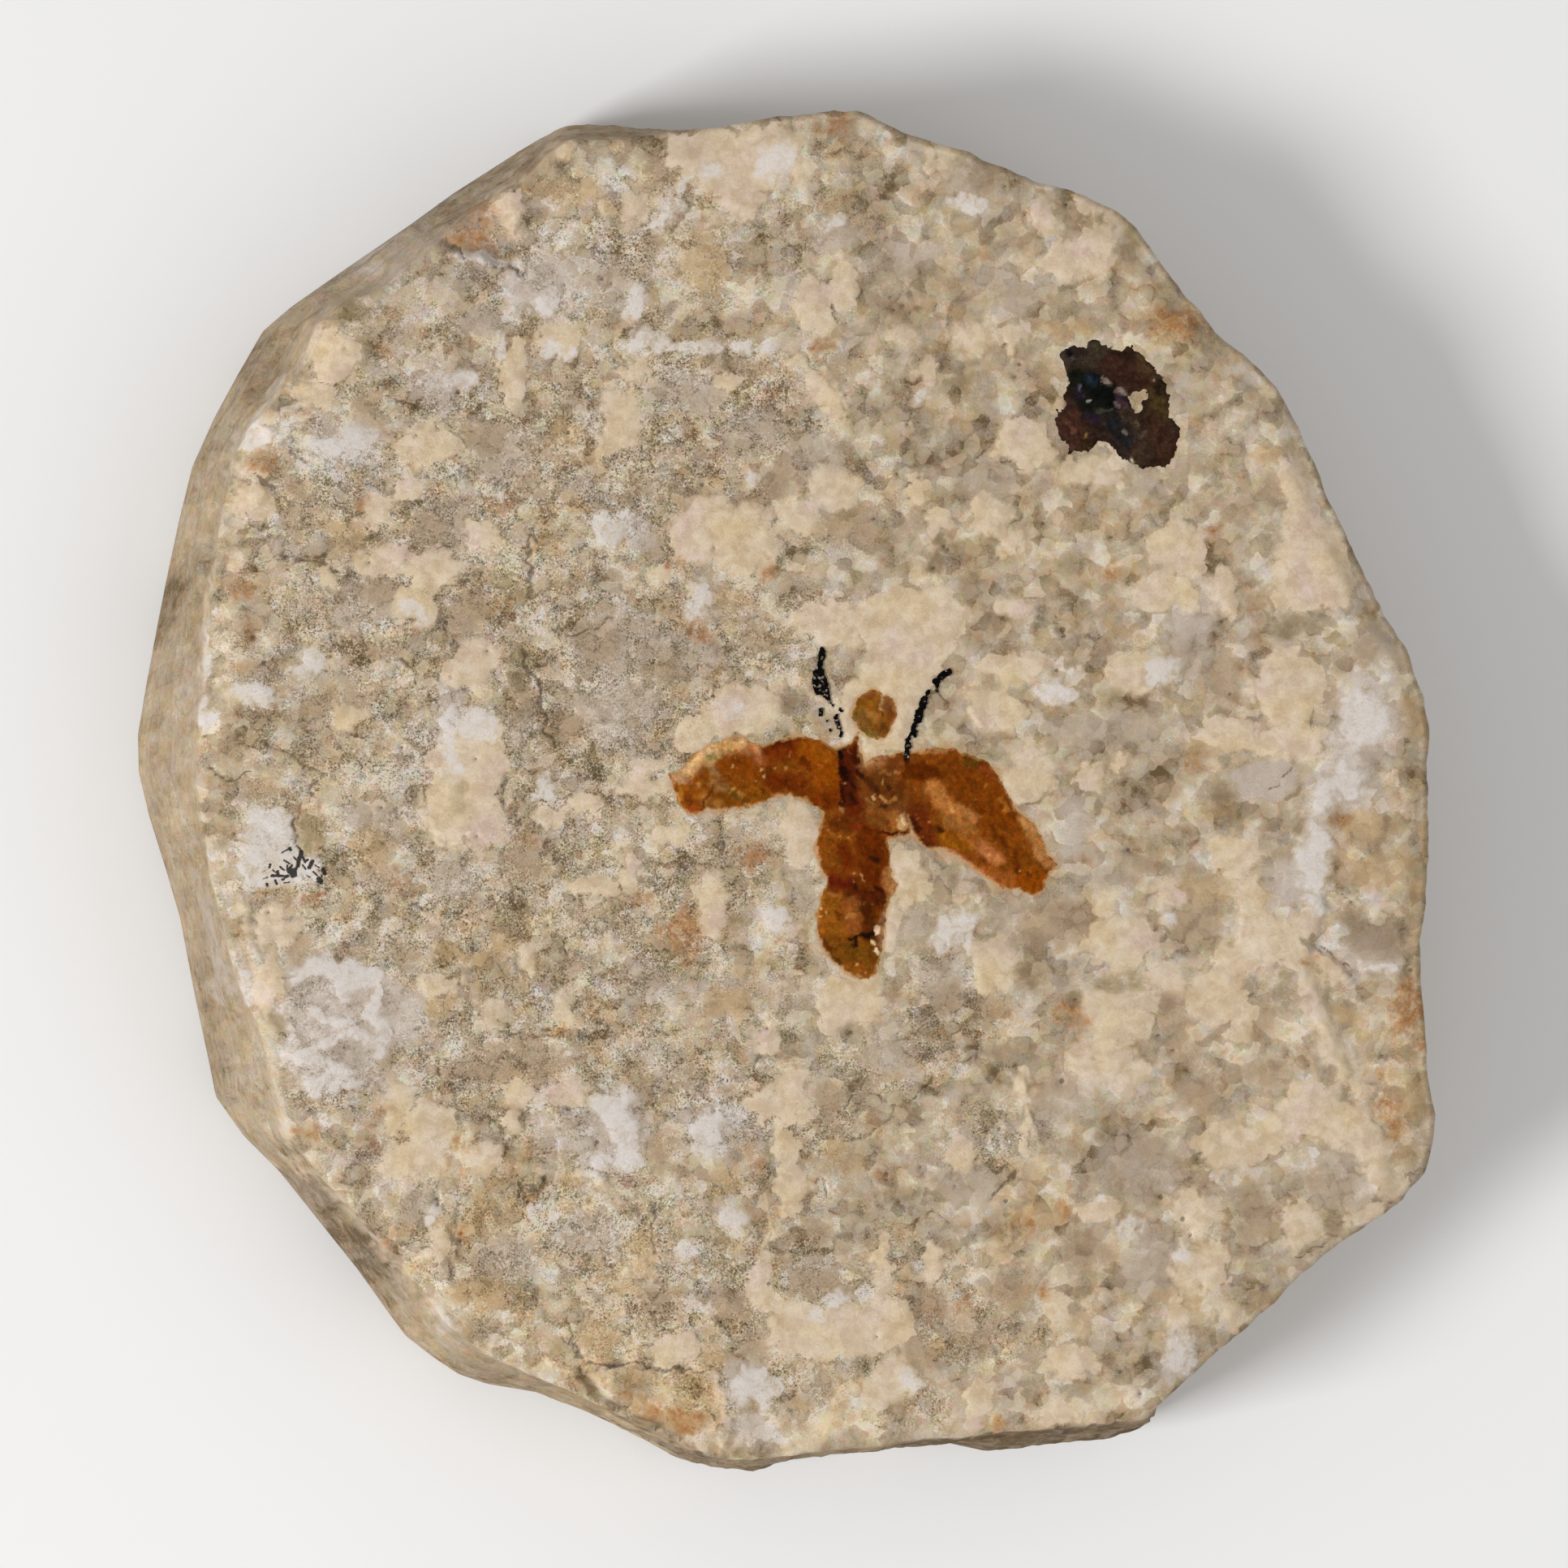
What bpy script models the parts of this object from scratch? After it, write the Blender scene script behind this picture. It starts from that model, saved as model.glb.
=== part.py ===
"""A fossil march fly on its broken piece of limestone, lying flat, bedding plane up.

Metres, +Z up. The origin is under the middle of the stone, on the plane it rests on.
Outlines were read by eye off a square picture, 1932 pixels wide, taken almost straight from above.
"""
import math

import bmesh
import bpy
from mathutils import Vector, noise

# Driving dimensions, in metres
SLAB_LENGTH = 0.0559        # from the top to the bottom of the stone in the picture
SLAB_THICKNESS = 0.009
FOOT_HEIGHT = 0.0014        # where the wall reaches out furthest
BASE_CHAMFER = 0.0009       # how far the resting face stays inside the foot
FILM_THICKNESS = 0.0005
FILM_RISE = 0.0002          # how far a film stands above the stone
BODY_RISE = 0.0001          # how much higher the body stands than the wings
CLEARANCE = 0.0003          # open gap around and under each film
UNDERCUT = 0.025            # part of the radius by which the hidden walls draw in

# Relief of the upper face: its height, and how closely its lumps follow each other
SWELLS = (0.00022, 90)
BUMPS = (0.00013, 330)
RIM_WEAR = 0.00038
WEAR_CHANGES = (0.0003, 260)
WEAR_WIDTH = 0.0013         # how far in from the edge the wear reaches
STEP_WIDTH = 0.0008         # width of the slope where a layer has broken away

# Relief of the wall: its height, and how many times it changes around the stone
WALL_SWELLS = (0.00030, 3.2)
WALL_BUMPS = (0.00016, 13)
LEDGES_COME_AND_GO = (1.1, 2.3)
LEDGES_WANDER = (0.05, 2.1)
BASE_EDGE_BUMPS = (0.0004, 5)
UNDERCUT_EASE = 8           # corners over which the undercut fades in

GRID_CELLS = 40             # cells along each side of the upper face's grid
SHARPEST_CORNER = 1.4       # how much further out than the rest a pocket's corner may move
TALL = 0.002                # how far a cutter reaches past the stone's face

# How the picture was taken
LEAN = math.radians(10)
LEAN_TOWARDS = math.radians(195)
EYE_DISTANCE = 0.5
PICTURE_MIDDLE = (966, 966)
SLAB_TOP_PX = 134
SLAB_BOTTOM_PX = 1811
PIXEL = SLAB_LENGTH / (SLAB_BOTTOM_PX - SLAB_TOP_PX)
AIM = Vector((-0.00086, 0.00018, SLAB_THICKNESS))   # what lies in the middle of the picture

# Edge of the upper face, from its upper left corner clockwise to its lower right corner
RIM_RIGHT = [
    (705, 172), (755, 172), (800, 165), (880, 157), (910, 151), (975, 141), (1030, 134), (1062, 138),
    (1110, 160), (1160, 178), (1195, 187), (1215, 199), (1280, 223), (1320, 233), (1380, 258), (1400, 276),
    (1425, 310), (1465, 368), (1500, 408), (1540, 440), (1575, 480), (1603, 530), (1640, 615), (1675, 690),
    (1710, 758), (1738, 808), (1746, 835), (1757, 862), (1763, 900), (1760, 960), (1763, 1055), (1759, 1112),
    (1751, 1158), (1754, 1190), (1758, 1280), (1763, 1335), (1773, 1375), (1771, 1400), (1758, 1445),
    (1730, 1478), (1680, 1515), (1620, 1558), (1592, 1582), (1575, 1602), (1525, 1645), (1475, 1690),
    (1440, 1722), (1415, 1746),
]

# The same edge, on from the lower right corner back to the start
RIM_LEFT = [
    (1380, 1752), (1320, 1758), (1240, 1764), (1160, 1772), (1080, 1781), (1000, 1789), (930, 1799),
    (885, 1795), (830, 1773), (760, 1740), (700, 1712), (610, 1672), (560, 1638), (520, 1582), (480, 1540),
    (445, 1500), (400, 1452), (360, 1395), (340, 1320), (315, 1250), (290, 1190), (268, 1110), (252, 1020),
    (247, 950), (250, 860), (257, 780), (268, 690), (280, 620), (292, 570), (315, 520), (345, 490),
    (378, 450), (395, 400), (430, 376), (480, 350), (520, 318), (560, 282), (600, 250), (640, 230),
    (680, 192),
]

# Foot of the wall where the picture shows it, from the lower right corner to the upper left one
FOOT_LEFT = [
    (1400, 1756), (1340, 1774), (1270, 1781), (1215, 1788), (1160, 1776), (1080, 1785), (1000, 1793),
    (950, 1801), (920, 1811), (870, 1803), (825, 1791), (780, 1766), (720, 1738), (660, 1715), (600, 1705),
    (565, 1693), (535, 1673), (500, 1646), (480, 1619), (440, 1563), (400, 1513), (345, 1444), (300, 1399),
    (266, 1351), (258, 1311), (240, 1226), (222, 1131), (205, 1073), (184, 1006), (171, 951), (170, 905),
    (181, 840), (194, 770), (208, 700), (221, 640), (237, 575), (264, 515), (294, 460), (324, 408),
    (359, 378), (399, 350), (454, 312), (504, 278), (559, 238), (639, 187), (690, 158), (750, 157),
]

# Wings, thorax and abdomen
LEFT_WING = [
    (1045, 925), (1025, 920), (1009, 912), (987, 908), (961, 911), (943, 919), (930, 917), (915, 909),
    (898, 910), (880, 917), (861, 926), (847, 941), (838, 952), (825, 955), (829, 971), (837, 990),
    (850, 1003), (866, 1001), (872, 995), (891, 997), (917, 995), (939, 989), (954, 980), (972, 979),
    (991, 985), (1006, 994), (1020, 1003), (1045, 1003),
]
RIGHT_WING = [
    (1100, 930), (1124, 927), (1150, 922), (1176, 924), (1198, 931), (1219, 941), (1232, 960), (1241, 980),
    (1253, 999), (1266, 1008), (1277, 1020), (1285, 1036), (1290, 1054), (1303, 1064), (1293, 1075),
    (1288, 1085), (1286, 1097), (1270, 1104), (1256, 1096), (1240, 1095), (1222, 1086), (1203, 1072),
    (1187, 1058), (1165, 1046), (1146, 1045), (1132, 1038), (1124, 1022), (1117, 1005), (1100, 1000),
]
BODY = [
    (1036, 922), (1052, 915), (1059, 925), (1065, 941), (1076, 934), (1098, 930), (1112, 930), (1116, 965),
    (1119, 1004), (1121, 1027), (1093, 1034), (1097, 1060), (1098, 1082), (1103, 1095), (1094, 1108),
    (1090, 1130), (1087, 1171), (1080, 1190), (1076, 1203), (1063, 1207), (1048, 1200), (1036, 1191),
    (1020, 1178), (1009, 1156), (1006, 1126), (1013, 1104), (1020, 1086), (1016, 1075), (1007, 1060),
    (1006, 1041), (1011, 1015), (1016, 1000), (1030, 985), (1034, 960),
]
HEAD = [
    (1060, 858), (1068, 852), (1076, 850), (1083, 852), (1087, 858), (1094, 857), (1100, 862), (1104, 871),
    (1105, 881), (1101, 890), (1096, 900), (1090, 908), (1080, 911), (1070, 909), (1062, 902), (1056, 893),
    (1050, 885), (1050, 876), (1054, 866),
]
LEFT_ANTENNA = [
    (1012, 799), (1017, 801), (1016, 812), (1015, 822), (1019, 834), (1022, 846), (1027, 858), (1028, 868),
    (1032, 880), (1036, 890), (1037, 905), (1032, 905), (1028, 892), (1024, 878), (1018, 862), (1008, 856),
    (1003, 845), (1003, 832), (1008, 822), (1006, 812), (1009, 801),
]
RIGHT_ANTENNA = [
    (1171, 826), (1167, 834), (1158, 841), (1155, 850), (1148, 859), (1142, 869), (1138, 880), (1133, 892),
    (1130, 905), (1126, 914), (1117, 914), (1119, 904), (1122, 890), (1126, 878), (1131, 866), (1137, 856),
    (1144, 848), (1150, 838), (1158, 830), (1166, 826),
]

# The black and brown flake near the upper right edge, and the window in it
FLAKE = [
    (1349, 419), (1372, 433), (1383, 432), (1395, 431), (1414, 445), (1428, 462), (1437, 475), (1440, 515),
    (1454, 528), (1446, 544), (1449, 564), (1433, 572), (1401, 574), (1384, 563), (1374, 552), (1359, 541),
    (1345, 549), (1333, 556), (1321, 556), (1314, 541), (1305, 536), (1303, 507), (1322, 499), (1314, 487),
    (1322, 475), (1314, 459), (1309, 434), (1321, 427), (1337, 429),
]
FLAKE_WINDOW = [(1391, 483), (1412, 482), (1414, 490), (1405, 506), (1400, 512), (1392, 505)]

# Places where a layer of the upper face has broken away: the outline, and how deep it is
LOST_LAYERS = [
    # the rusty chip at the upper left rim
    ([(545, 292), (600, 240), (625, 262), (645, 335), (612, 328), (570, 312)], 0.0006),
    # flakes along the left rim
    ([(255, 590), (300, 520), (345, 545), (352, 610), (318, 650), (262, 700)], 0.0004),
    ([(330, 480), (385, 395), (420, 378), (410, 430), (380, 480), (350, 505)], 0.0004),
    # the shallow scar at the lower left
    ([(560, 1478), (640, 1470), (680, 1442), (730, 1445), (800, 1482), (815, 1560), (770, 1590),
      (690, 1600), (560, 1570)], 0.00022),
    # the stained chip at the lower rim
    ([(705, 1690), (760, 1683), (870, 1686), (892, 1740), (880, 1800), (760, 1745)], 0.0006),
    # the step along the right rim, and the hollow above it
    ([(1600, 1180), (1640, 1250), (1665, 1330), (1710, 1400), (1730, 1480), (1790, 1440), (1790, 1190)],
     0.0004),
    ([(1640, 1095), (1665, 1120), (1720, 1118), (1740, 1150), (1715, 1195), (1670, 1205), (1618, 1160)],
     0.0003),
]

# Ledges of the wall: part of the way down from the rim, and how far it stands out there
WALL_PROFILE = [
    (0.06, 0.10), (0.17, 0.30), (0.20, 0.62), (0.36, 0.55), (0.40, 0.85), (0.56, 0.70),
    (0.60, 0.98), (0.78, 0.85), (0.86, 1.0),
]

NEAR_FLY = (1060, 1000)     # middle of the quiet patch of stone that holds the fly
QUIET_RADIUS = 0.009


def place(point, height):
    """Where a picture point lies on the level plane at a height."""
    towards_eye = Vector((math.sin(LEAN) * math.cos(LEAN_TOWARDS),
                          math.sin(LEAN) * math.sin(LEAN_TOWARDS),
                          math.cos(LEAN)))
    right = Vector((0, 1, 0)).cross(towards_eye).normalized()
    up = towards_eye.cross(right)
    seen = AIM + right * (point[0] - PICTURE_MIDDLE[0]) * PIXEL - up * (point[1] - PICTURE_MIDDLE[1]) * PIXEL
    eye = AIM + towards_eye * EYE_DISTANCE
    ray = seen - eye
    return eye + ray * ((height - eye.z) / ray.z)


def places(outline, height):
    return [place(point, height) for point in outline]


def radius_towards(corners, angle):
    """Distance from the origin to a closed outline in one direction."""
    way = Vector((math.cos(angle), math.sin(angle)))
    reach = 0
    for start, end in zip(corners, corners[1:] + corners[:1]):
        side = (end - start).xy
        slope = way.cross(side)
        if abs(slope) < 1e-12:
            continue
        along = start.xy.cross(way) / slope
        distance = start.xy.cross(side) / slope
        if 0 <= along <= 1 and distance > 0:
            reach = max(reach, distance)
    return reach


def depth_inside(corners, spot):
    """How far inside a closed outline a spot lies: negative when it is outside."""
    inside = False
    nearest = 1.0
    for start, end in zip(corners, corners[1:] + corners[:1]):
        side = (end - start).xy
        step = (spot - start).xy
        along = min(max(step.dot(side) / side.length_squared, 0), 1)
        nearest = min(nearest, (step - side * along).length)
        if (start.y > spot.y) != (end.y > spot.y):
            crossing = start.x + side.x * (spot.y - start.y) / side.y
            if crossing > spot.x:
                inside = not inside
    return nearest if inside else -nearest


def ease(value):
    """A smooth step from 0 to 1."""
    value = min(max(value, 0), 1)
    return value * value * (3 - 2 * value)


LOST_AREAS = [(places(outline, SLAB_THICKNESS), depth) for outline, depth in LOST_LAYERS]


def lumps(spot, relief, layer):
    """Smooth lumps over the upper face, different in each layer."""
    height, closeness = relief
    return height * noise.noise(Vector((spot.x * closeness, spot.y * closeness, layer)))


def surface_height(spot, rim_distance):
    """Height of the upper face at a spot: swells, lost layers and a worn rim."""
    away_from_fly = (spot - place(NEAR_FLY, SLAB_THICKNESS)).xy.length / QUIET_RADIUS
    relief = (lumps(spot, SWELLS, 0.1) + lumps(spot, BUMPS, 1.3)) * ease(away_from_fly - 1)
    lost = sum(depth * ease(depth_inside(area, spot) / STEP_WIDTH + 0.5) for area, depth in LOST_AREAS)
    worn = (RIM_WEAR + lumps(spot, WEAR_CHANGES, 2.6)) * ease(1 - rim_distance / WEAR_WIDTH)
    return SLAB_THICKNESS + relief - lost - worn


def disc_place(across, along):
    """Polar place in the unit disc of a spot in the square from -1 to 1."""
    reach = max(abs(across), abs(along))
    if reach == 0:
        return 0, 0
    if abs(across) >= abs(along):
        return reach, math.pi / 4 * along / across + (math.pi if across < 0 else 0)
    return reach, math.pi / 2 - math.pi / 4 * across / along + (math.pi if along < 0 else 0)


def shape_upper_face(mesh, rim):
    """Spread the grid over the outline of the rim and give it the stone's relief."""
    for vert in mesh.verts:
        reach, angle = disc_place(vert.co.x, vert.co.y)
        radius = radius_towards(rim, angle)
        spot = Vector((math.cos(angle), math.sin(angle), 0)) * reach * radius
        spot.z = surface_height(spot, (1 - reach) * radius)
        vert.co = spot


def extrude_ring(mesh, edges):
    """Extrude a ring of edges: the new edges and the new vertices."""
    made = bmesh.ops.extrude_edge_only(mesh, edges=edges)["geom"]
    new_edges = [item for item in made if isinstance(item, bmesh.types.BMEdge)]
    new_verts = [item for item in made if isinstance(item, bmesh.types.BMVert)]
    return new_edges, new_verts


def around(angle, relief, layer):
    """Smooth lumps around the wall, different in each layer."""
    height, turns = relief
    return height * noise.noise(Vector((math.cos(angle) * turns, math.sin(angle) * turns, layer)))


def wall_point(rim, foot, top, angle, down, out):
    """A point of the wall: the ledges come and go around it, and their height wanders."""
    start = radius_towards(rim, angle)
    end = radius_towards(foot, angle)
    plain = down / WALL_PROFILE[-1][0]
    within = ease(plain * 5) * ease((1 - plain) * 5)
    stepped = ease(0.55 + around(angle, LEDGES_COME_AND_GO, 40 + round(down * 4)))
    rough = around(angle, WALL_SWELLS, down * 9) + around(angle, WALL_BUMPS, down * 20)
    radius = start + (end - start) * (plain + (out - plain) * stepped) + rough * within
    fall = plain + around(angle, LEDGES_WANDER, 70 + down) * within
    height = top + (FOOT_HEIGHT - top) * fall
    return Vector((math.cos(angle) * radius, math.sin(angle) * radius, height))


def build_wall(mesh, edges, rim, foot):
    """Carry the rim down in ledges to the foot, then in to the edge of the resting face."""
    rim_height = {}
    for edge in edges:
        for vert in edge.verts:
            rim_height[round(math.atan2(vert.co.y, vert.co.x), 4)] = vert.co.z
    for down, out in WALL_PROFILE:
        edges, verts = extrude_ring(mesh, edges)
        for vert in verts:
            angle = math.atan2(vert.co.y, vert.co.x)
            vert.co = wall_point(rim, foot, rim_height[round(angle, 4)], angle, down, out)
    edges, verts = extrude_ring(mesh, edges)
    for vert in verts:
        angle = math.atan2(vert.co.y, vert.co.x)
        radius = radius_towards(foot, angle) - BASE_CHAMFER + around(angle, BASE_EDGE_BUMPS, 3)
        vert.co = Vector((math.cos(angle) * radius, math.sin(angle) * radius, 0))
    bmesh.ops.contextual_create(mesh, geom=edges)


def finish(name, mesh, material):
    """Make the object of a closed mesh."""
    bmesh.ops.recalc_face_normals(mesh, faces=mesh.faces)
    data = bpy.data.meshes.new(name)
    mesh.to_mesh(data)
    mesh.free()
    data.materials.append(material)
    shape = bpy.data.objects.new(name, data)
    bpy.context.collection.objects.link(shape)
    return shape


def hidden_foot():
    """Foot of the wall on the hidden side: under the rim at both ends, drawn in between them."""
    corners = places(RIM_RIGHT, SLAB_THICKNESS)[3:]
    last = len(corners) - 1
    return [corner * (1 - UNDERCUT * ease(min(number, last - number) / UNDERCUT_EASE))
            for number, corner in enumerate(corners)]


def make_slab(material):
    rim = places(RIM_RIGHT + RIM_LEFT, SLAB_THICKNESS)
    foot = hidden_foot() + places(FOOT_LEFT, FOOT_HEIGHT)
    mesh = bmesh.new()
    bmesh.ops.create_grid(mesh, x_segments=GRID_CELLS, y_segments=GRID_CELLS, size=1)
    shape_upper_face(mesh, rim)
    build_wall(mesh, [edge for edge in mesh.edges if edge.is_boundary], rim, foot)
    return finish("slab", mesh, material)


def widened(corners, amount):
    """The outline moved outwards by an amount, its narrow notches filled."""
    middle = sum((corner.xy for corner in corners), Vector((0, 0))) / len(corners)
    turning = sum((a.xy - middle).cross(b.xy - middle) for a, b in zip(corners, corners[1:] + corners[:1]))
    way_round = 1 if turning > 0 else -1
    moved = []
    for before, corner, after in zip(corners[-1:] + corners[:-1], corners, corners[1:] + corners[:1]):
        first = (corner - before).xy.normalized()
        second = (after - corner).xy.normalized()
        outward = Vector((first.y + second.y, -first.x - second.x)).normalized() * way_round
        stretch = min(1 / max(abs(outward.dot(Vector((first.y, -first.x)))), 0.1), SHARPEST_CORNER)
        spot = corner + outward.to_3d() * amount * stretch
        if -depth_inside(corners, spot) > 0.95 * amount:
            moved.append(spot)
    return moved


def prism(corners, bottom, top):
    """A straight-sided block over an outline."""
    mesh = bmesh.new()
    face = mesh.faces.new([mesh.verts.new((corner.x, corner.y, bottom)) for corner in corners])
    lifted = bmesh.ops.extrude_face_region(mesh, geom=[face])["geom"]
    for item in lifted:
        if isinstance(item, bmesh.types.BMVert):
            item.co.z = top
    return mesh


def hide_tool(tool):
    tool.hide_render = True
    tool.hide_set(True)
    tool.display_type = "WIRE"


def cut(target, tool, operation):
    change = target.modifiers.new(tool.name, "BOOLEAN")
    change.operation = operation
    change.solver = "EXACT"
    change.object = tool
    hide_tool(tool)


def stone_level(outline):
    """Level of the stone around the middle of a film."""
    corners = places(outline, SLAB_THICKNESS)
    middle = sum(corners, Vector()) / len(corners)
    return surface_height(middle, 1)


def make_film(name, outline, material, extra_rise=0):
    """A thin film lying in the stone, its edge a little above the surface."""
    level = stone_level(outline)
    bottom = level + FILM_RISE - FILM_THICKNESS
    mesh = prism(places(outline, level), bottom, level + FILM_RISE + extra_rise)
    return finish(name, mesh, material)


def make_pocket(slab, name, outline, material):
    """The hollow in the stone that a film lies in."""
    level = stone_level(outline)
    floor = level + FILM_RISE - FILM_THICKNESS - CLEARANCE
    mesh = prism(widened(places(outline, level), CLEARANCE), floor, level + TALL)
    cut(slab, finish(name, mesh, material), "DIFFERENCE")


def make_fly(slab, material):
    """Wings, thorax and abdomen, grown together in one film."""
    fly = make_film("fly", BODY, material, extra_rise=BODY_RISE)
    make_pocket(slab, "pocket_body", BODY, material)
    for side, outline in (("left", LEFT_WING), ("right", RIGHT_WING)):
        wing = make_film("wing_" + side, outline, material)
        cut(fly, wing, "UNION")
        make_pocket(slab, "pocket_wing_" + side, outline, material)


def make_flake(slab, material):
    """The flake, with the window through it."""
    flake = make_film("dark_flake", FLAKE, material)
    level = stone_level(FLAKE)
    window = prism(places(FLAKE_WINDOW, level), level - TALL, level + TALL)
    cut(flake, finish("window", window, material), "DIFFERENCE")
    make_pocket(slab, "pocket_flake", FLAKE, material)


def plain_material(name, colour, roughness):
    material = bpy.data.materials.new(name)
    material.use_nodes = True
    shader = material.node_tree.nodes["Principled BSDF"]
    shader.inputs["Base Color"].default_value = (*colour, 1)
    shader.inputs["Roughness"].default_value = roughness
    shader.inputs["Metallic"].default_value = 0
    return material


def main():
    for old in list(bpy.data.objects):
        bpy.data.objects.remove(old)
    limestone = plain_material("limestone", (0.40, 0.32, 0.21), 0.9)
    brown_film = plain_material("brown_film", (0.26, 0.07, 0.01), 0.6)
    black_film = plain_material("black_film", (0.01, 0.01, 0.012), 0.6)
    flake_film = plain_material("flake_film", (0.03, 0.018, 0.015), 0.6)
    slab = make_slab(limestone)
    make_fly(slab, brown_film)
    for name, outline, material in (("fly_head", HEAD, brown_film),
                                    ("left_antenna", LEFT_ANTENNA, black_film),
                                    ("right_antenna", RIGHT_ANTENNA, black_film)):
        make_film(name, outline, material)
        make_pocket(slab, "pocket_" + name, outline, material)
    make_flake(slab, flake_film)


main()
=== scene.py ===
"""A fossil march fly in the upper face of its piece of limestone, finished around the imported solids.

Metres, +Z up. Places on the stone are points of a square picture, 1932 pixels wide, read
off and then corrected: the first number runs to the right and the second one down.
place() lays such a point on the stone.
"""
import math

import bmesh
import bpy
import numpy as np
from mathutils import Matrix, Vector, noise


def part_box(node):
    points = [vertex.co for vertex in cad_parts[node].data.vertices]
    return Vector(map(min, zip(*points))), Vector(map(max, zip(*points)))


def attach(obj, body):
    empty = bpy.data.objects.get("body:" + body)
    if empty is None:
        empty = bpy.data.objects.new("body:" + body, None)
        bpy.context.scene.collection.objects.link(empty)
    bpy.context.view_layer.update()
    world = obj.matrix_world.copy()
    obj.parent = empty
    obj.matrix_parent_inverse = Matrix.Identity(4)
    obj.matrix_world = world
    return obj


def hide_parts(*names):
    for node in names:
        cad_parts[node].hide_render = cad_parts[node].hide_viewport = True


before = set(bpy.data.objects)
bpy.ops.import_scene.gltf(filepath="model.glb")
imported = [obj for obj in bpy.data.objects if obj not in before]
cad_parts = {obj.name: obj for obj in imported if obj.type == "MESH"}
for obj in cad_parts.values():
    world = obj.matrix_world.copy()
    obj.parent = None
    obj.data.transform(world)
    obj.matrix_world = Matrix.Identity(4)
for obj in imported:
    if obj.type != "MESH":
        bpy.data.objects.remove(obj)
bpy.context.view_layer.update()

# The stone, in metres
SLAB_THICKNESS = 0.009
FOOT_HEIGHT = 0.0014
BASE_CHAMFER = 0.0009
UNDERCUT = 0.025            # part of the radius by which the hidden walls draw in
UNDERCUT_EASE = 8           # corners over which the undercut fades in

# How the picture was taken
LEAN = math.radians(10)
LEAN_TOWARDS = math.radians(195)
EYE_DISTANCE = 0.5
PICTURE_SIZE = 1932
PICTURE_MIDDLE = 966
PIXEL = 0.0559 / 1677
AIM = Vector((-0.00086, 0.00018, SLAB_THICKNESS))   # what lies in the middle of the picture
TOWARDS_EYE = Vector((math.sin(LEAN) * math.cos(LEAN_TOWARDS),
                      math.sin(LEAN) * math.sin(LEAN_TOWARDS),
                      math.cos(LEAN)))
PICTURE_RIGHT = Vector((0, 1, 0)).cross(TOWARDS_EYE).normalized()
PICTURE_UP = TOWARDS_EYE.cross(PICTURE_RIGHT)
EYE = AIM + TOWARDS_EYE * EYE_DISTANCE

# Edge of the upper face, from its upper left corner clockwise to its lower right corner
RIM_RIGHT = [
    (705, 172), (755, 172), (800, 165), (880, 157), (910, 151), (975, 141), (1030, 134), (1062, 138),
    (1110, 160), (1160, 178), (1195, 187), (1215, 199), (1280, 223), (1320, 233), (1380, 258), (1400, 276),
    (1425, 310), (1465, 368), (1500, 408), (1540, 440), (1575, 480), (1603, 530), (1640, 615), (1675, 690),
    (1710, 758), (1738, 808), (1746, 835), (1757, 862), (1763, 900), (1760, 960), (1763, 1055), (1759, 1112),
    (1751, 1158), (1754, 1190), (1758, 1280), (1763, 1335), (1773, 1375), (1771, 1400), (1758, 1445),
    (1730, 1478), (1680, 1515), (1620, 1558), (1592, 1582), (1575, 1602), (1525, 1645), (1475, 1690),
    (1440, 1722), (1415, 1746),
]

# The same edge, on from the lower right corner back to the start
RIM_LEFT = [
    (1380, 1752), (1320, 1758), (1240, 1764), (1160, 1772), (1080, 1781), (1000, 1789), (930, 1799),
    (885, 1795), (830, 1773), (760, 1740), (700, 1712), (610, 1672), (560, 1638), (520, 1582), (480, 1540),
    (445, 1500), (400, 1452), (360, 1395), (340, 1320), (315, 1250), (290, 1190), (268, 1110), (252, 1020),
    (247, 950), (250, 860), (257, 780), (268, 690), (280, 620), (292, 570), (315, 520), (345, 490),
    (378, 450), (395, 400), (430, 376), (480, 350), (520, 318), (560, 282), (600, 250), (640, 230),
    (680, 192),
]

# Foot of the wall where the picture shows it, from the lower right corner to the upper left one
FOOT_LEFT = [
    (1400, 1756), (1340, 1774), (1270, 1781), (1215, 1788), (1160, 1776), (1080, 1785), (1000, 1793),
    (950, 1801), (920, 1811), (870, 1803), (825, 1791), (780, 1766), (720, 1738), (660, 1715), (600, 1705),
    (565, 1693), (535, 1673), (500, 1646), (480, 1619), (440, 1563), (400, 1513), (345, 1444), (300, 1399),
    (266, 1351), (258, 1311), (240, 1226), (222, 1131), (205, 1073), (184, 1006), (171, 951), (170, 905),
    (181, 840), (194, 770), (208, 700), (221, 640), (237, 575), (264, 515), (294, 460), (324, 408),
    (359, 378), (399, 350), (454, 312), (504, 278), (559, 238), (639, 187), (690, 158), (750, 157),
]

# Ledges of the wall: part of the way down from the rim, and how far it stands out there
WALL_PROFILE = [
    (0, 0), (0.06, 0.10), (0.17, 0.30), (0.20, 0.62), (0.36, 0.55), (0.40, 0.85), (0.56, 0.70),
    (0.60, 0.98), (0.78, 0.85), (0.86, 1.0),
]

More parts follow.
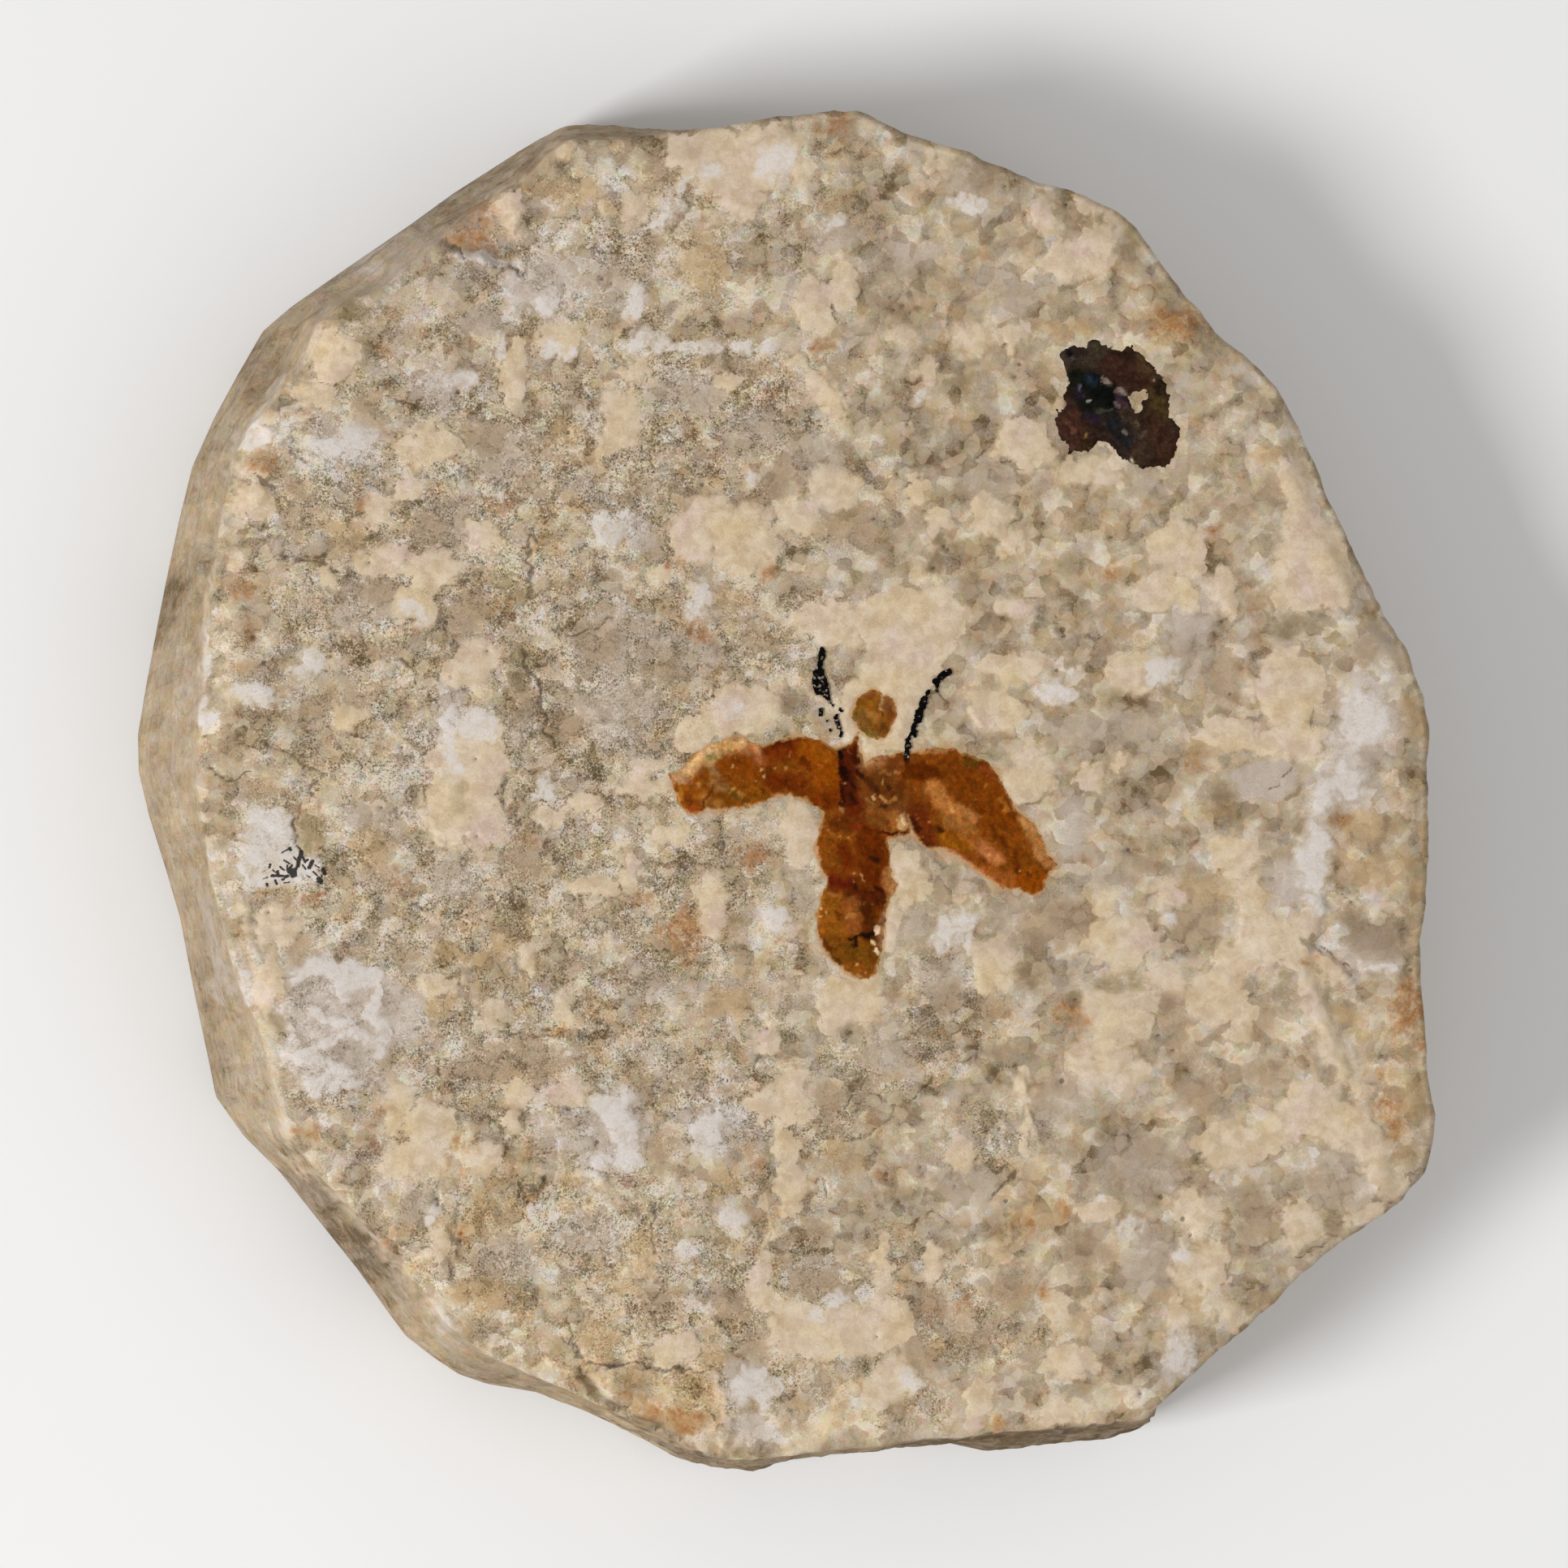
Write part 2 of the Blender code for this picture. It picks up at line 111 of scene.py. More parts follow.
# Wings, thorax and abdomen
LEFT_WING = [
    (1045, 925), (1025, 920), (1009, 912), (987, 908), (961, 911), (943, 919), (930, 917), (915, 909),
    (898, 910), (880, 917), (861, 926), (847, 941), (838, 952), (825, 955), (829, 971), (837, 990),
    (850, 1003), (866, 1001), (872, 995), (891, 997), (917, 995), (939, 989), (954, 980), (972, 979),
    (991, 985), (1006, 994), (1020, 1003), (1045, 1003),
]
RIGHT_WING = [
    (1100, 930), (1124, 927), (1150, 922), (1176, 924), (1198, 931), (1219, 941), (1232, 960), (1241, 980),
    (1253, 999), (1266, 1008), (1277, 1020), (1285, 1036), (1290, 1054), (1303, 1064), (1293, 1075),
    (1288, 1085), (1286, 1097), (1270, 1104), (1256, 1096), (1240, 1095), (1222, 1086), (1203, 1072),
    (1187, 1058), (1165, 1046), (1146, 1045), (1132, 1038), (1124, 1022), (1117, 1005), (1100, 1000),
]
BODY = [
    (1036, 922), (1046, 917), (1052, 910), (1057, 903), (1059, 925), (1065, 941), (1076, 934), (1098, 930),
    (1112, 930), (1116, 965), (1119, 1004), (1121, 1027), (1093, 1034), (1097, 1060), (1098, 1082),
    (1106, 1090), (1103, 1098), (1094, 1108), (1090, 1130), (1087, 1171), (1080, 1190), (1076, 1203),
    (1063, 1207), (1048, 1200), (1036, 1191), (1020, 1178), (1009, 1156), (1006, 1126), (1013, 1104),
    (1020, 1086), (1016, 1075), (1007, 1060), (1006, 1041), (1011, 1015), (1016, 1000), (1030, 985),
    (1034, 960),
]
HEAD = [
    (1060, 858), (1068, 852), (1076, 850), (1083, 852), (1087, 858), (1094, 857), (1100, 862), (1104, 871),
    (1105, 881), (1101, 890), (1096, 900), (1090, 908), (1080, 911), (1070, 909), (1062, 902), (1056, 893),
    (1050, 885), (1050, 876), (1054, 866),
]
FLAKE = [
    (1349, 419), (1372, 433), (1383, 432), (1395, 431), (1414, 445), (1428, 462), (1437, 475), (1440, 515),
    (1454, 528), (1446, 544), (1449, 564), (1433, 572), (1401, 574), (1384, 563), (1374, 552), (1359, 541),
    (1345, 549), (1333, 556), (1321, 556), (1314, 541), (1305, 536), (1303, 507), (1322, 499), (1314, 487),
    (1322, 475), (1314, 459), (1309, 434), (1321, 427), (1337, 429),
]
FLAKE_WINDOW = [(1391, 483), (1412, 482), (1414, 490), (1405, 506), (1400, 512), (1392, 505)]

# The antennae are broken carbon films: strokes as their points and half widths
LEFT_ANTENNA = [
    ([(1013, 800), (1011, 808)], 2.6), ([(1014, 806), (1011, 815)], 3.4), ([(1009, 816), (1010, 824)], 2.6),
    ([(1006, 830), (1005, 842)], 4.6), ([(1012, 829), (1013, 838)], 4.0), ([(1004, 842), (1007, 853)], 3.4),
    ([(1016, 836), (1018, 846), (1020, 857)], 2.8), ([(1010, 854), (1016, 857)], 2.2),
    ([(1011, 845), (1014, 850)], 1.2), ([(1020, 859), (1023, 866)], 2.2), ([(1026, 869), (1026, 870)], 1.4),
    ([(1012, 874), (1012, 881)], 2.4), ([(1018, 888), (1018, 889)], 1.3), ([(1030, 883), (1032, 892)], 2.9),
    ([(1035, 874), (1036, 876)], 1.7), ([(1033, 897), (1034, 898)], 1.6), ([(1036, 903), (1036, 908)], 1.8),
    ([(1022, 898), (1023, 900)], 1.0),
]
RIGHT_ANTENNA = [
    ([(1169, 828), (1162, 832), (1153, 840)], 4.0), ([(1155, 842), (1154, 850)], 1.8),
    ([(1144, 851), (1142, 855)], 2.0), ([(1139, 861), (1136, 867)], 3.9), ([(1136, 872), (1131, 878)], 3.8),
    ([(1131, 880), (1129, 890)], 3.2), ([(1127, 892), (1124, 902)], 2.9), ([(1142, 861), (1140, 868)], 1.6),
    ([(1136, 882), (1133, 890)], 1.4), ([(1123, 902), (1118, 913)], 2.3), ([(1118, 912), (1117, 933)], 2.8),
    ([(1129, 901), (1127, 908)], 1.5), ([(1121, 916), (1120, 922)], 1.4),
]

# Places where a layer of the upper face has broken away: the outline, the depth, and how wide its edge is
LOST_LAYERS = [
    ([(545, 292), (600, 240), (625, 262), (645, 335), (612, 328), (570, 312)], 0.0003, 9),
    ([(255, 590), (300, 520), (345, 545), (352, 610), (318, 650), (262, 700)], 0.0004, 10),
    ([(330, 480), (385, 395), (420, 378), (410, 430), (380, 480), (350, 505)], 0.0004, 10),
    ([(560, 1478), (640, 1470), (680, 1442), (730, 1445), (800, 1482), (815, 1560), (770, 1590), (690, 1600),
     (560, 1570)], 0.00018, 9),
    ([(705, 1690), (760, 1683), (870, 1686), (892, 1740), (880, 1800), (760, 1745)], 0.0006, 7),
    ([(1600, 1180), (1640, 1250), (1665, 1330), (1710, 1400), (1730, 1480), (1790, 1440), (1790, 1190)],
     0.0002, 42),
    ([(1640, 1095), (1665, 1120), (1720, 1118), (1740, 1150), (1715, 1195), (1670, 1205), (1618, 1160)],
     0.00018, 14),
]

# Patches of the stone by colour: middle, half width, half height, and how far turned clockwise
PATCHES = {
    "cream": [
        (628, 262, 14, 28), (700, 184, 14, 16, -30), (890, 170, 60, 12), (835, 185, 14, 18),
        (960, 172, 30, 14), (915, 235, 32, 30), (990, 215, 12, 22), (882, 270, 12, 8), (780, 258, 15, 18),
        (632, 462, 15, 42), (690, 415, 26, 18), (765, 515, 26, 38), (780, 455, 16, 15), (1000, 370, 22, 30),
        (1165, 190, 22, 12), (1155, 207, 10, 9), (1285, 262, 17, 24), (1310, 322, 24, 26),
        (1352, 305, 24, 32), (1345, 250, 22, 10), (1375, 272, 9, 20), (1040, 356, 22, 22),
        (1020, 395, 15, 14), (1019, 484, 13, 36, -35), (1137, 455, 12, 18), (1260, 545, 36, 27),
        (410, 440, 27, 32), (388, 482, 24, 20), (530, 548, 40, 24), (312, 612, 24, 25), (467, 625, 13, 24),
        (470, 690, 36, 18), (535, 700, 32, 20), (590, 662, 22, 20), (515, 742, 26, 24), (408, 715, 7, 16),
        (580, 818, 30, 26), (750, 540, 15, 22), (852, 660, 26, 26), (920, 680, 38, 26), (880, 622, 20, 14),
        (1030, 605, 32, 26), (985, 637, 25, 18), (1025, 770, 42, 26), (992, 757, 17, 13), (912, 876, 46, 30),
        (858, 905, 22, 26, 30), (815, 706, 15, 14), (1220, 635, 28, 20), (1155, 640, 20, 18),
        (1130, 600, 14, 14), (1240, 668, 12, 14), (1248, 748, 24, 15), (1128, 762, 54, 34),
        (1118, 822, 40, 28), (1100, 790, 20, 30), (1335, 580, 36, 18), (1448, 672, 34, 34),
        (1440, 732, 40, 26), (1250, 820, 40, 17), (1228, 874, 34, 28), (1395, 830, 38, 24),
        (1512, 730, 10, 36, -18), (1600, 600, 20, 34), (1642, 712, 26, 30), (1590, 722, 16, 24),
        (1588, 850, 46, 46), (1510, 900, 36, 22), (340, 1142, 22, 22), (540, 1212, 22, 14),
        (1382, 945, 7, 12), (1275, 955, 26, 24), (1345, 960, 18, 18), (1262, 960, 24, 26),
        (1362, 1112, 20, 12), (1128, 1094, 18, 24), (1102, 1145, 12, 36), (1062, 1232, 28, 32),
        (1226, 1192, 24, 34), (1216, 1160, 20, 12), (1384, 1162, 46, 32), (1378, 1248, 46, 34),
        (1350, 1300, 34, 30), (1385, 1320, 30, 26), (1262, 1332, 9, 15), (1266, 1396, 9, 32),
        (1185, 1418, 14, 20), (1348, 1491, 30, 14), (1524, 1056, 28, 22), (1543, 1115, 15, 42),
        (1556, 1155, 36, 34), (1520, 1182, 28, 18), (1610, 1140, 16, 16), (1590, 912, 44, 22),
        (1440, 1210, 22, 16), (1500, 1230, 34, 30), (1530, 1260, 20, 26), (1640, 1190, 22, 14, 40),
        (602, 1250, 20, 15), (700, 1242, 12, 22, -30), (487, 1362, 14, 36), (528, 1385, 28, 26),
        (512, 1430, 42, 24), (640, 1352, 16, 20), (632, 1380, 10, 16), (596, 1426, 24, 20),
        (541, 1532, 14, 16), (975, 1352, 20, 38), (940, 1362, 20, 18), (966, 1412, 20, 18),
        (974, 1462, 18, 36), (938, 1580, 16, 34), (1040, 1640, 84, 34), (1090, 1562, 13, 34),
        (830, 1660, 34, 17), (1084, 1715, 28, 20), (1300, 1612, 20, 18), (1322, 1676, 36, 20),
        (1206, 1732, 15, 40), (1312, 1736, 28, 16), (1515, 1410, 46, 28), (1618, 1364, 28, 38),
        (1662, 1390, 44, 22), (1702, 1432, 14, 38), (1722, 1462, 14, 20), (1602, 1512, 22, 30),
        (1478, 1560, 34, 32), (1470, 1492, 30, 26), (1682, 1500, 30, 12, -35), (1520, 1625, 14, 12),
        (795, 940, 26, 12), (800, 972, 32, 15), (722, 992, 24, 15), (676, 1010, 12, 9), (776, 1070, 8, 28),
        (740, 1095, 34, 12), (988, 1026, 25, 36), (878, 1110, 18, 36), (1112, 1075, 14, 36),
        (1030, 1240, 24, 32), (948, 1282, 14, 16), (700, 1242, 14, 18, -40), (652, 1184, 12, 18),
        (825, 1025, 24, 12), (1100, 1700, 30, 22), (380, 402, 22, 10, -20), (505, 600, 16, 14),
        (430, 880, 22, 14), (330, 1212, 14, 34, 12), (900, 470, 14, 10), (985, 450, 16, 8),
        (1200, 415, 30, 14), (1250, 415, 14, 20), (1110, 410, 16, 12), (700, 1345, 22, 24),
        (1450, 1620, 14, 16), (1150, 1560, 12, 20), (1440, 1100, 16, 22),
    ],
    "white": [
        (552, 905, 12, 40), (588, 900, 26, 16), (230, 842, 14, 22), (252, 805, 5, 36), (835, 228, 10, 12),
        (826, 252, 16, 16), (812, 275, 12, 12), (872, 215, 22, 8), (950, 197, 22, 20), (782, 372, 12, 20),
        (672, 372, 16, 16, 20), (688, 432, 26, 8), (614, 428, 7, 18), (800, 422, 36, 12), (868, 426, 34, 9),
        (932, 428, 32, 8), (1190, 250, 24, 9), (1030, 394, 8, 8), (1133, 489, 7, 9), (425, 546, 34, 17),
        (590, 488, 4, 10), (565, 472, 28, 14), (508, 752, 8, 16, -35), (340, 656, 5, 11), (385, 814, 17, 18),
        (749, 657, 21, 30), (776, 632, 12, 9), (905, 877, 8, 3), (860, 745, 16, 26), (925, 828, 10, 5),
        (925, 590, 16, 9), (1303, 855, 28, 13), (1430, 826, 20, 18), (1682, 882, 34, 38), (315, 852, 28, 11),
        (370, 826, 18, 8), (248, 882, 10, 26), (325, 1030, 26, 36), (352, 1066, 20, 24), (340, 1006, 22, 14),
        (382, 1075, 18, 16), (588, 890, 22, 22), (556, 945, 14, 9), (428, 1208, 24, 16), (455, 1203, 18, 10),
        (373, 1204, 14, 9), (422, 1234, 8, 8), (448, 1276, 26, 7), (390, 1290, 38, 7, -25),
        (358, 1274, 10, 13), (398, 1312, 48, 7, 14), (400, 1334, 36, 11), (410, 1196, 40, 14),
        (462, 1240, 9, 26), (384, 1250, 22, 7, -30), (420, 1262, 30, 6, 20), (366, 1300, 20, 7, 12),
        (318, 1016, 22, 26), (1175, 1150, 28, 22), (1630, 985, 12, 24), (1618, 1060, 20, 46),
        (1622, 1108, 14, 12), (1662, 962, 24, 26), (1702, 1191, 22, 8), (470, 1272, 7, 30),
        (750, 1358, 24, 20), (772, 1392, 18, 26), (776, 1428, 18, 20), (745, 1432, 16, 8),
        (870, 1397, 21, 24), (880, 1374, 12, 10), (900, 1500, 17, 16), (846, 1541, 9, 18),
        (942, 1712, 24, 24), (915, 1710, 11, 16), (1030, 1598, 14, 8), (1120, 1702, 14, 14),
        (1455, 1672, 24, 20), (1462, 1640, 12, 10), (545, 1630, 10, 20, -35), (666, 1498, 17, 9),
        (600, 322, 42, 7, 12), (1010, 1620, 18, 8), (1350, 1480, 14, 6), (270, 1200, 10, 34, -12),
        (300, 1215, 12, 26), (326, 545, 22, 10, -30), (668, 970, 14, 20), (1615, 1428, 11, 9),
        (1395, 1512, 22, 10), (536, 1500, 10, 12), (335, 470, 8, 28, 30), (300, 540, 7, 34, 24),
        (1455, 1545, 16, 10), (1030, 270, 10, 12), (1440, 1128, 11, 14), (958, 1132, 17, 19),
    ],
    "lilac": [
        (735, 163, 26, 5), (1190, 226, 26, 14), (1115, 318, 50, 22), (1232, 340, 28, 18), (1250, 380, 26, 18),
        (700, 335, 34, 18), (760, 340, 20, 22), (1210, 592, 40, 18), (1030, 290, 30, 22), (370, 678, 34, 14),
        (430, 760, 24, 18), (700, 600, 20, 8), (1360, 900, 70, 26), (1470, 808, 34, 20), (1590, 770, 34, 18),
        (1480, 730, 20, 26), (1100, 1298, 38, 24), (1160, 1205, 30, 24), (1190, 1455, 36, 26),
        (1400, 1440, 50, 40), (1590, 1090, 26, 20), (1560, 960, 40, 20), (1650, 1440, 46, 42),
        (700, 1400, 20, 24), (520, 1490, 30, 22), (760, 880, 60, 40), (762, 790, 60, 44), (720, 1520, 40, 30),
        (620, 560, 40, 40), (550, 640, 36, 34), (450, 740, 40, 34), (850, 480, 50, 26), (1000, 560, 40, 26),
        (930, 530, 34, 26), (800, 1210, 34, 30), (1030, 1186, 14, 14), (1120, 1140, 20, 20),
        (1310, 1360, 30, 26), (1420, 1560, 44, 40), (1000, 1570, 40, 22), (380, 1460, 40, 16, 45),
        (850, 800, 44, 26), (600, 400, 30, 16), (1410, 600, 20, 14), (1700, 800, 30, 22), (640, 900, 16, 30),
        (460, 1010, 40, 20), (430, 1330, 40, 20), (1360, 1080, 34, 16), (1240, 1130, 26, 22),
        (620, 1550, 40, 30), (490, 300, 20, 10, -30), (560, 1080, 34, 24),
    ],
    "brown": [
        (660, 206, 30, 12, -35), (810, 205, 13, 20), (805, 300, 12, 15), (885, 278, 16, 5, -8),
        (1015, 430, 11, 8), (650, 422, 6, 14), (655, 458, 5, 16), (880, 370, 6, 10), (920, 455, 26, 14),
        (1218, 217, 16, 20), (1252, 300, 16, 12), (1313, 285, 5, 20), (1322, 262, 18, 12),
        (1034, 452, 11, 13), (1124, 487, 4, 6), (1160, 345, 14, 6), (1170, 471, 36, 4), (1250, 462, 6, 7),
        (455, 508, 22, 22), (600, 540, 28, 28), (365, 628, 24, 28), (530, 655, 20, 26), (470, 725, 34, 16),
        (580, 755, 18, 28), (650, 610, 24, 8), (690, 570, 12, 9), (960, 592, 12, 26), (1022, 652, 14, 12),
        (1062, 655, 18, 20), (1122, 638, 7, 24, 30), (1265, 672, 8, 24, -20), (1192, 726, 14, 16),
        (1222, 772, 16, 8), (845, 620, 18, 10), (800, 660, 12, 16), (790, 600, 22, 14), (1370, 858, 9, 9),
        (1440, 860, 6, 13), (1485, 616, 14, 8), (1530, 628, 24, 14), (1545, 738, 16, 14), (1510, 835, 16, 42),
        (1612, 652, 14, 12), (1640, 860, 16, 11), (1680, 808, 12, 16), (1655, 822, 10, 12),
        (1555, 896, 13, 12), (1572, 600, 14, 24), (320, 880, 30, 12), (345, 850, 9, 14), (312, 970, 20, 12),
        (280, 915, 8, 24), (312, 1182, 6, 18), (570, 968, 9, 8), (645, 855, 14, 26), (450, 860, 30, 14),
        (400, 860, 20, 16), (1300, 1142, 44, 32), (1262, 1192, 13, 16), (1216, 1240, 22, 28),
        (1170, 1225, 20, 18), (1308, 1330, 9, 11), (1290, 1344, 20, 8), (1220, 1374, 10, 13),
        (1410, 1413, 22, 12), (1370, 1446, 6, 15), (1440, 1232, 12, 22), (1366, 1206, 12, 11),
        (1400, 1210, 10, 10), (1470, 1135, 30, 28), (1440, 975, 16, 14), (1380, 946, 16, 18),
        (1590, 1056, 9, 9), (1556, 1256, 22, 16), (1480, 1350, 34, 24), (1550, 1320, 30, 18),
        (1735, 1156, 8, 26), (480, 1300, 20, 24), (600, 1310, 44, 26), (745, 1400, 10, 9),
        (812, 1412, 18, 24), (1018, 1362, 16, 26), (930, 1665, 24, 18), (985, 1676, 12, 10),
        (1015, 1706, 14, 24), (1000, 1520, 30, 14), (1000, 1580, 34, 20), (820, 1600, 30, 24),
        (900, 1610, 26, 20), (1240, 1590, 28, 22), (1150, 1600, 24, 26), (1550, 1492, 24, 30),
        (1533, 1522, 9, 12), (1625, 1450, 13, 10), (1643, 1502, 10, 16), (1200, 1640, 34, 20),
        (1130, 1660, 22, 24), (1110, 1740, 20, 16), (1340, 1540, 34, 16), (560, 1560, 9, 16),
        (790, 1360, 8, 26), (900, 1350, 22, 10), (910, 1058, 20, 12), (652, 1030, 12, 8), (788, 1108, 12, 12),
        (800, 1158, 10, 8), (905, 1135, 6, 10), (470, 800, 26, 10), (300, 780, 26, 14), (730, 790, 30, 24),
        (930, 790, 30, 18), (820, 830, 26, 16), (1410, 1060, 22, 16), (1400, 1112, 12, 7),
        (1410, 1142, 6, 12), (700, 900, 30, 24), (1460, 1290, 18, 24), (1230, 1300, 30, 10),
        (1080, 1330, 34, 10), (640, 1060, 22, 34), (470, 1080, 26, 18), (370, 1170, 14, 12),
        (500, 1175, 14, 18), (660, 1300, 40, 24), (1110, 400, 22, 10), (1100, 380, 26, 8), (700, 305, 24, 10),
        (300, 460, 8, 30, 30),
    ],
    "tan": [
        (700, 235, 44, 18), (865, 330, 34, 34), (832, 516, 14, 6), (1145, 376, 7, 12), (1185, 282, 13, 12),
        (1290, 460, 15, 16), (1320, 406, 26, 12), (425, 662, 26, 20), (710, 614, 30, 6, 10),
        (900, 735, 14, 10), (1375, 770, 15, 11), (1560, 560, 26, 10), (1480, 930, 26, 12),
        (450, 1050, 26, 24), (385, 1030, 14, 26), (300, 925, 12, 16), (540, 1240, 20, 15),
        (1230, 1250, 14, 18), (1376, 1290, 14, 15), (1275, 1452, 14, 12), (1686, 1018, 34, 18),
        (1700, 1070, 44, 24), (1742, 1092, 16, 18), (1480, 1096, 40, 15), (1664, 1256, 26, 16),
        (590, 1512, 22, 22), (705, 1456, 24, 13), (1030, 1412, 16, 12), (880, 1658, 14, 24),
        (1284, 1502, 34, 16), (1230, 1540, 24, 8), (1330, 1626, 14, 13), (1160, 1662, 20, 11),
        (1232, 1752, 10, 11), (1740, 1352, 20, 28), (1732, 1416, 13, 13), (1560, 1606, 16, 11),
        (620, 1165, 20, 20), (580, 1180, 34, 12), (900, 1530, 22, 9), (785, 1728, 12, 8), (770, 1590, 24, 10),
        (790, 1545, 22, 26), (740, 1640, 24, 18), (900, 1240, 30, 20), (1740, 885, 12, 24),
        (590, 1590, 34, 22), (1050, 1430, 22, 12), (890, 1450, 24, 18), (1450, 1600, 30, 12),
        (700, 530, 20, 18), (340, 1100, 34, 10), (630, 318, 8, 9), (850, 1750, 34, 16), (812, 1748, 26, 11),
        (730, 1700, 18, 12), (1190, 395, 12, 8), (1500, 1000, 22, 9), (1620, 1205, 9, 16, -30),
    ],
    "rust": [
        (590, 268, 20, 13), (585, 298, 28, 10, 8), (945, 492, 9, 11), (323, 572, 17, 8, -20),
        (295, 728, 15, 10), (1032, 150, 12, 13), (825, 691, 15, 6), (860, 780, 26, 7, 25), (615, 625, 19, 6),
        (448, 622, 6, 13), (1370, 706, 13, 10), (1496, 660, 10, 10), (1546, 748, 7, 8), (386, 1101, 13, 6),
        (510, 778, 6, 5), (625, 749, 13, 6), (1316, 1250, 20, 14), (1312, 1497, 9, 8), (1262, 1514, 12, 11),
        (1094, 1452, 9, 8), (1468, 940, 9, 7), (1736, 1236, 15, 32), (1720, 1262, 8, 10), (1706, 1362, 17, 8),
        (1720, 1384, 9, 14), (1745, 1290, 8, 8, -40), (1700, 1326, 6, 13), (690, 1267, 15, 3),
        (560, 1416, 6, 11), (377, 1396, 13, 6), (456, 1405, 8, 8), (470, 1373, 12, 6), (568, 1526, 4, 14),
        (480, 1534, 8, 6), (935, 1436, 7, 3), (945, 1500, 14, 13), (768, 1722, 10, 8), (850, 1752, 22, 13),
        (846, 1748, 30, 16), (805, 1742, 14, 6), (708, 1698, 10, 6), (650, 1480, 6, 3), (1280, 1588, 9, 12),
        (1145, 1620, 11, 9), (843, 1152, 24, 28), (930, 1058, 22, 12), (652, 1028, 10, 6), (787, 1108, 10, 9),
        (310, 785, 8, 6), (495, 1090, 10, 6), (1616, 1190, 7, 7), (1655, 1012, 8, 7), (1190, 1610, 10, 9),
        (1232, 1753, 8, 9), (735, 1250, 8, 7), (1450, 400, 34, 20), (1015, 432, 9, 6), (875, 565, 9, 7),
        (950, 702, 14, 7),
    ],
    "haze": [
        (1322, 1015, 22, 36), (950, 197, 30, 24), (1662, 962, 34, 36), (745, 1430, 34, 18),
        (1560, 960, 44, 26), (930, 1762, 34, 18), (1590, 1085, 34, 26), (1685, 885, 44, 44),
        (670, 350, 40, 34), (565, 472, 34, 18), (552, 880, 18, 40), (430, 1250, 90, 60), (760, 1385, 40, 40),
        (880, 1385, 34, 30), (915, 1706, 30, 26), (1450, 1680, 30, 24), (1690, 1175, 34, 26),
        (1465, 775, 34, 26), (540, 480, 30, 24), (425, 545, 44, 26), (788, 650, 18, 24),
        (262, 1160, 14, 50, -12), (345, 656, 10, 18),
    ],
    "olive": [
        (885, 278, 15, 7), (1140, 352, 9, 8), (1185, 470, 25, 5), (1590, 775, 22, 14), (1618, 768, 11, 11),
        (1440, 862, 6, 14), (1370, 858, 10, 9), (1505, 981, 13, 12), (1655, 1010, 9, 8), (1707, 1012, 6, 18),
        (1603, 1010, 8, 12), (1665, 1130, 12, 11), (1325, 1228, 12, 15), (1262, 1195, 12, 20),
        (1365, 1207, 12, 11), (1398, 1208, 13, 11), (1580, 1210, 7, 14), (1220, 1372, 12, 13),
        (335, 1257, 14, 11), (912, 1135, 8, 10), (1643, 1500, 10, 16), (380, 1030, 14, 26),
        (1150, 692, 11, 13), (1165, 675, 9, 9), (970, 870, 14, 10), (1528, 1015, 8, 8), (1392, 275, 10, 18),
        # the last two olive patches on this line, along the bottom rim, are painted shade of the wall's
        # underside
        (570, 968, 9, 7), (565, 992, 8, 6), (430, 387, 18, 10, -25), (1238, 1777, 24, 6), (915, 1791, 40, 5),
        (622, 730, 18, 26), (640, 820, 14, 30), (1470, 1540, 10, 8),
    ],
    "dim": [
        (748, 347, 9, 7), (880, 448, 12, 8), (1100, 384, 14, 8), (1150, 692, 11, 14), (1165, 675, 8, 7),
        (1310, 780, 6, 8), (1300, 824, 7, 7), (970, 868, 16, 10), (1505, 980, 12, 11), (1655, 1008, 9, 6),
        (1706, 1010, 5, 14), (1666, 1130, 12, 11), (1325, 1228, 11, 16), (1048, 1272, 9, 6),
        (335, 1256, 14, 8), (415, 738, 10, 8), (1390, 1048, 7, 4), (1440, 1236, 7, 12), (1603, 1012, 8, 12),
        (1695, 1160, 34, 24), (640, 838, 8, 12), (1520, 856, 7, 14), (1505, 768, 6, 11), (1590, 778, 12, 9),
        # the dim patches on this line and the next that lie along the rim, at the upper left and at the
        # bottom, are painted shade of the wall
        (655, 205, 22, 7, -35), (900, 1790, 26, 5), (1300, 1769, 70, 3, -4), (1240, 1778, 24, 5),
        (835, 1778, 36, 4, 22), (590, 308, 26, 4, 10), (275, 1030, 7, 12), (560, 480, 6, 4),
        (1270, 1206, 10, 8), (1376, 1466, 7, 12), (1060, 1360, 8, 7), (890, 800, 14, 8), (1740, 1196, 8, 7),
        (860, 1360, 10, 6),
    ],
}

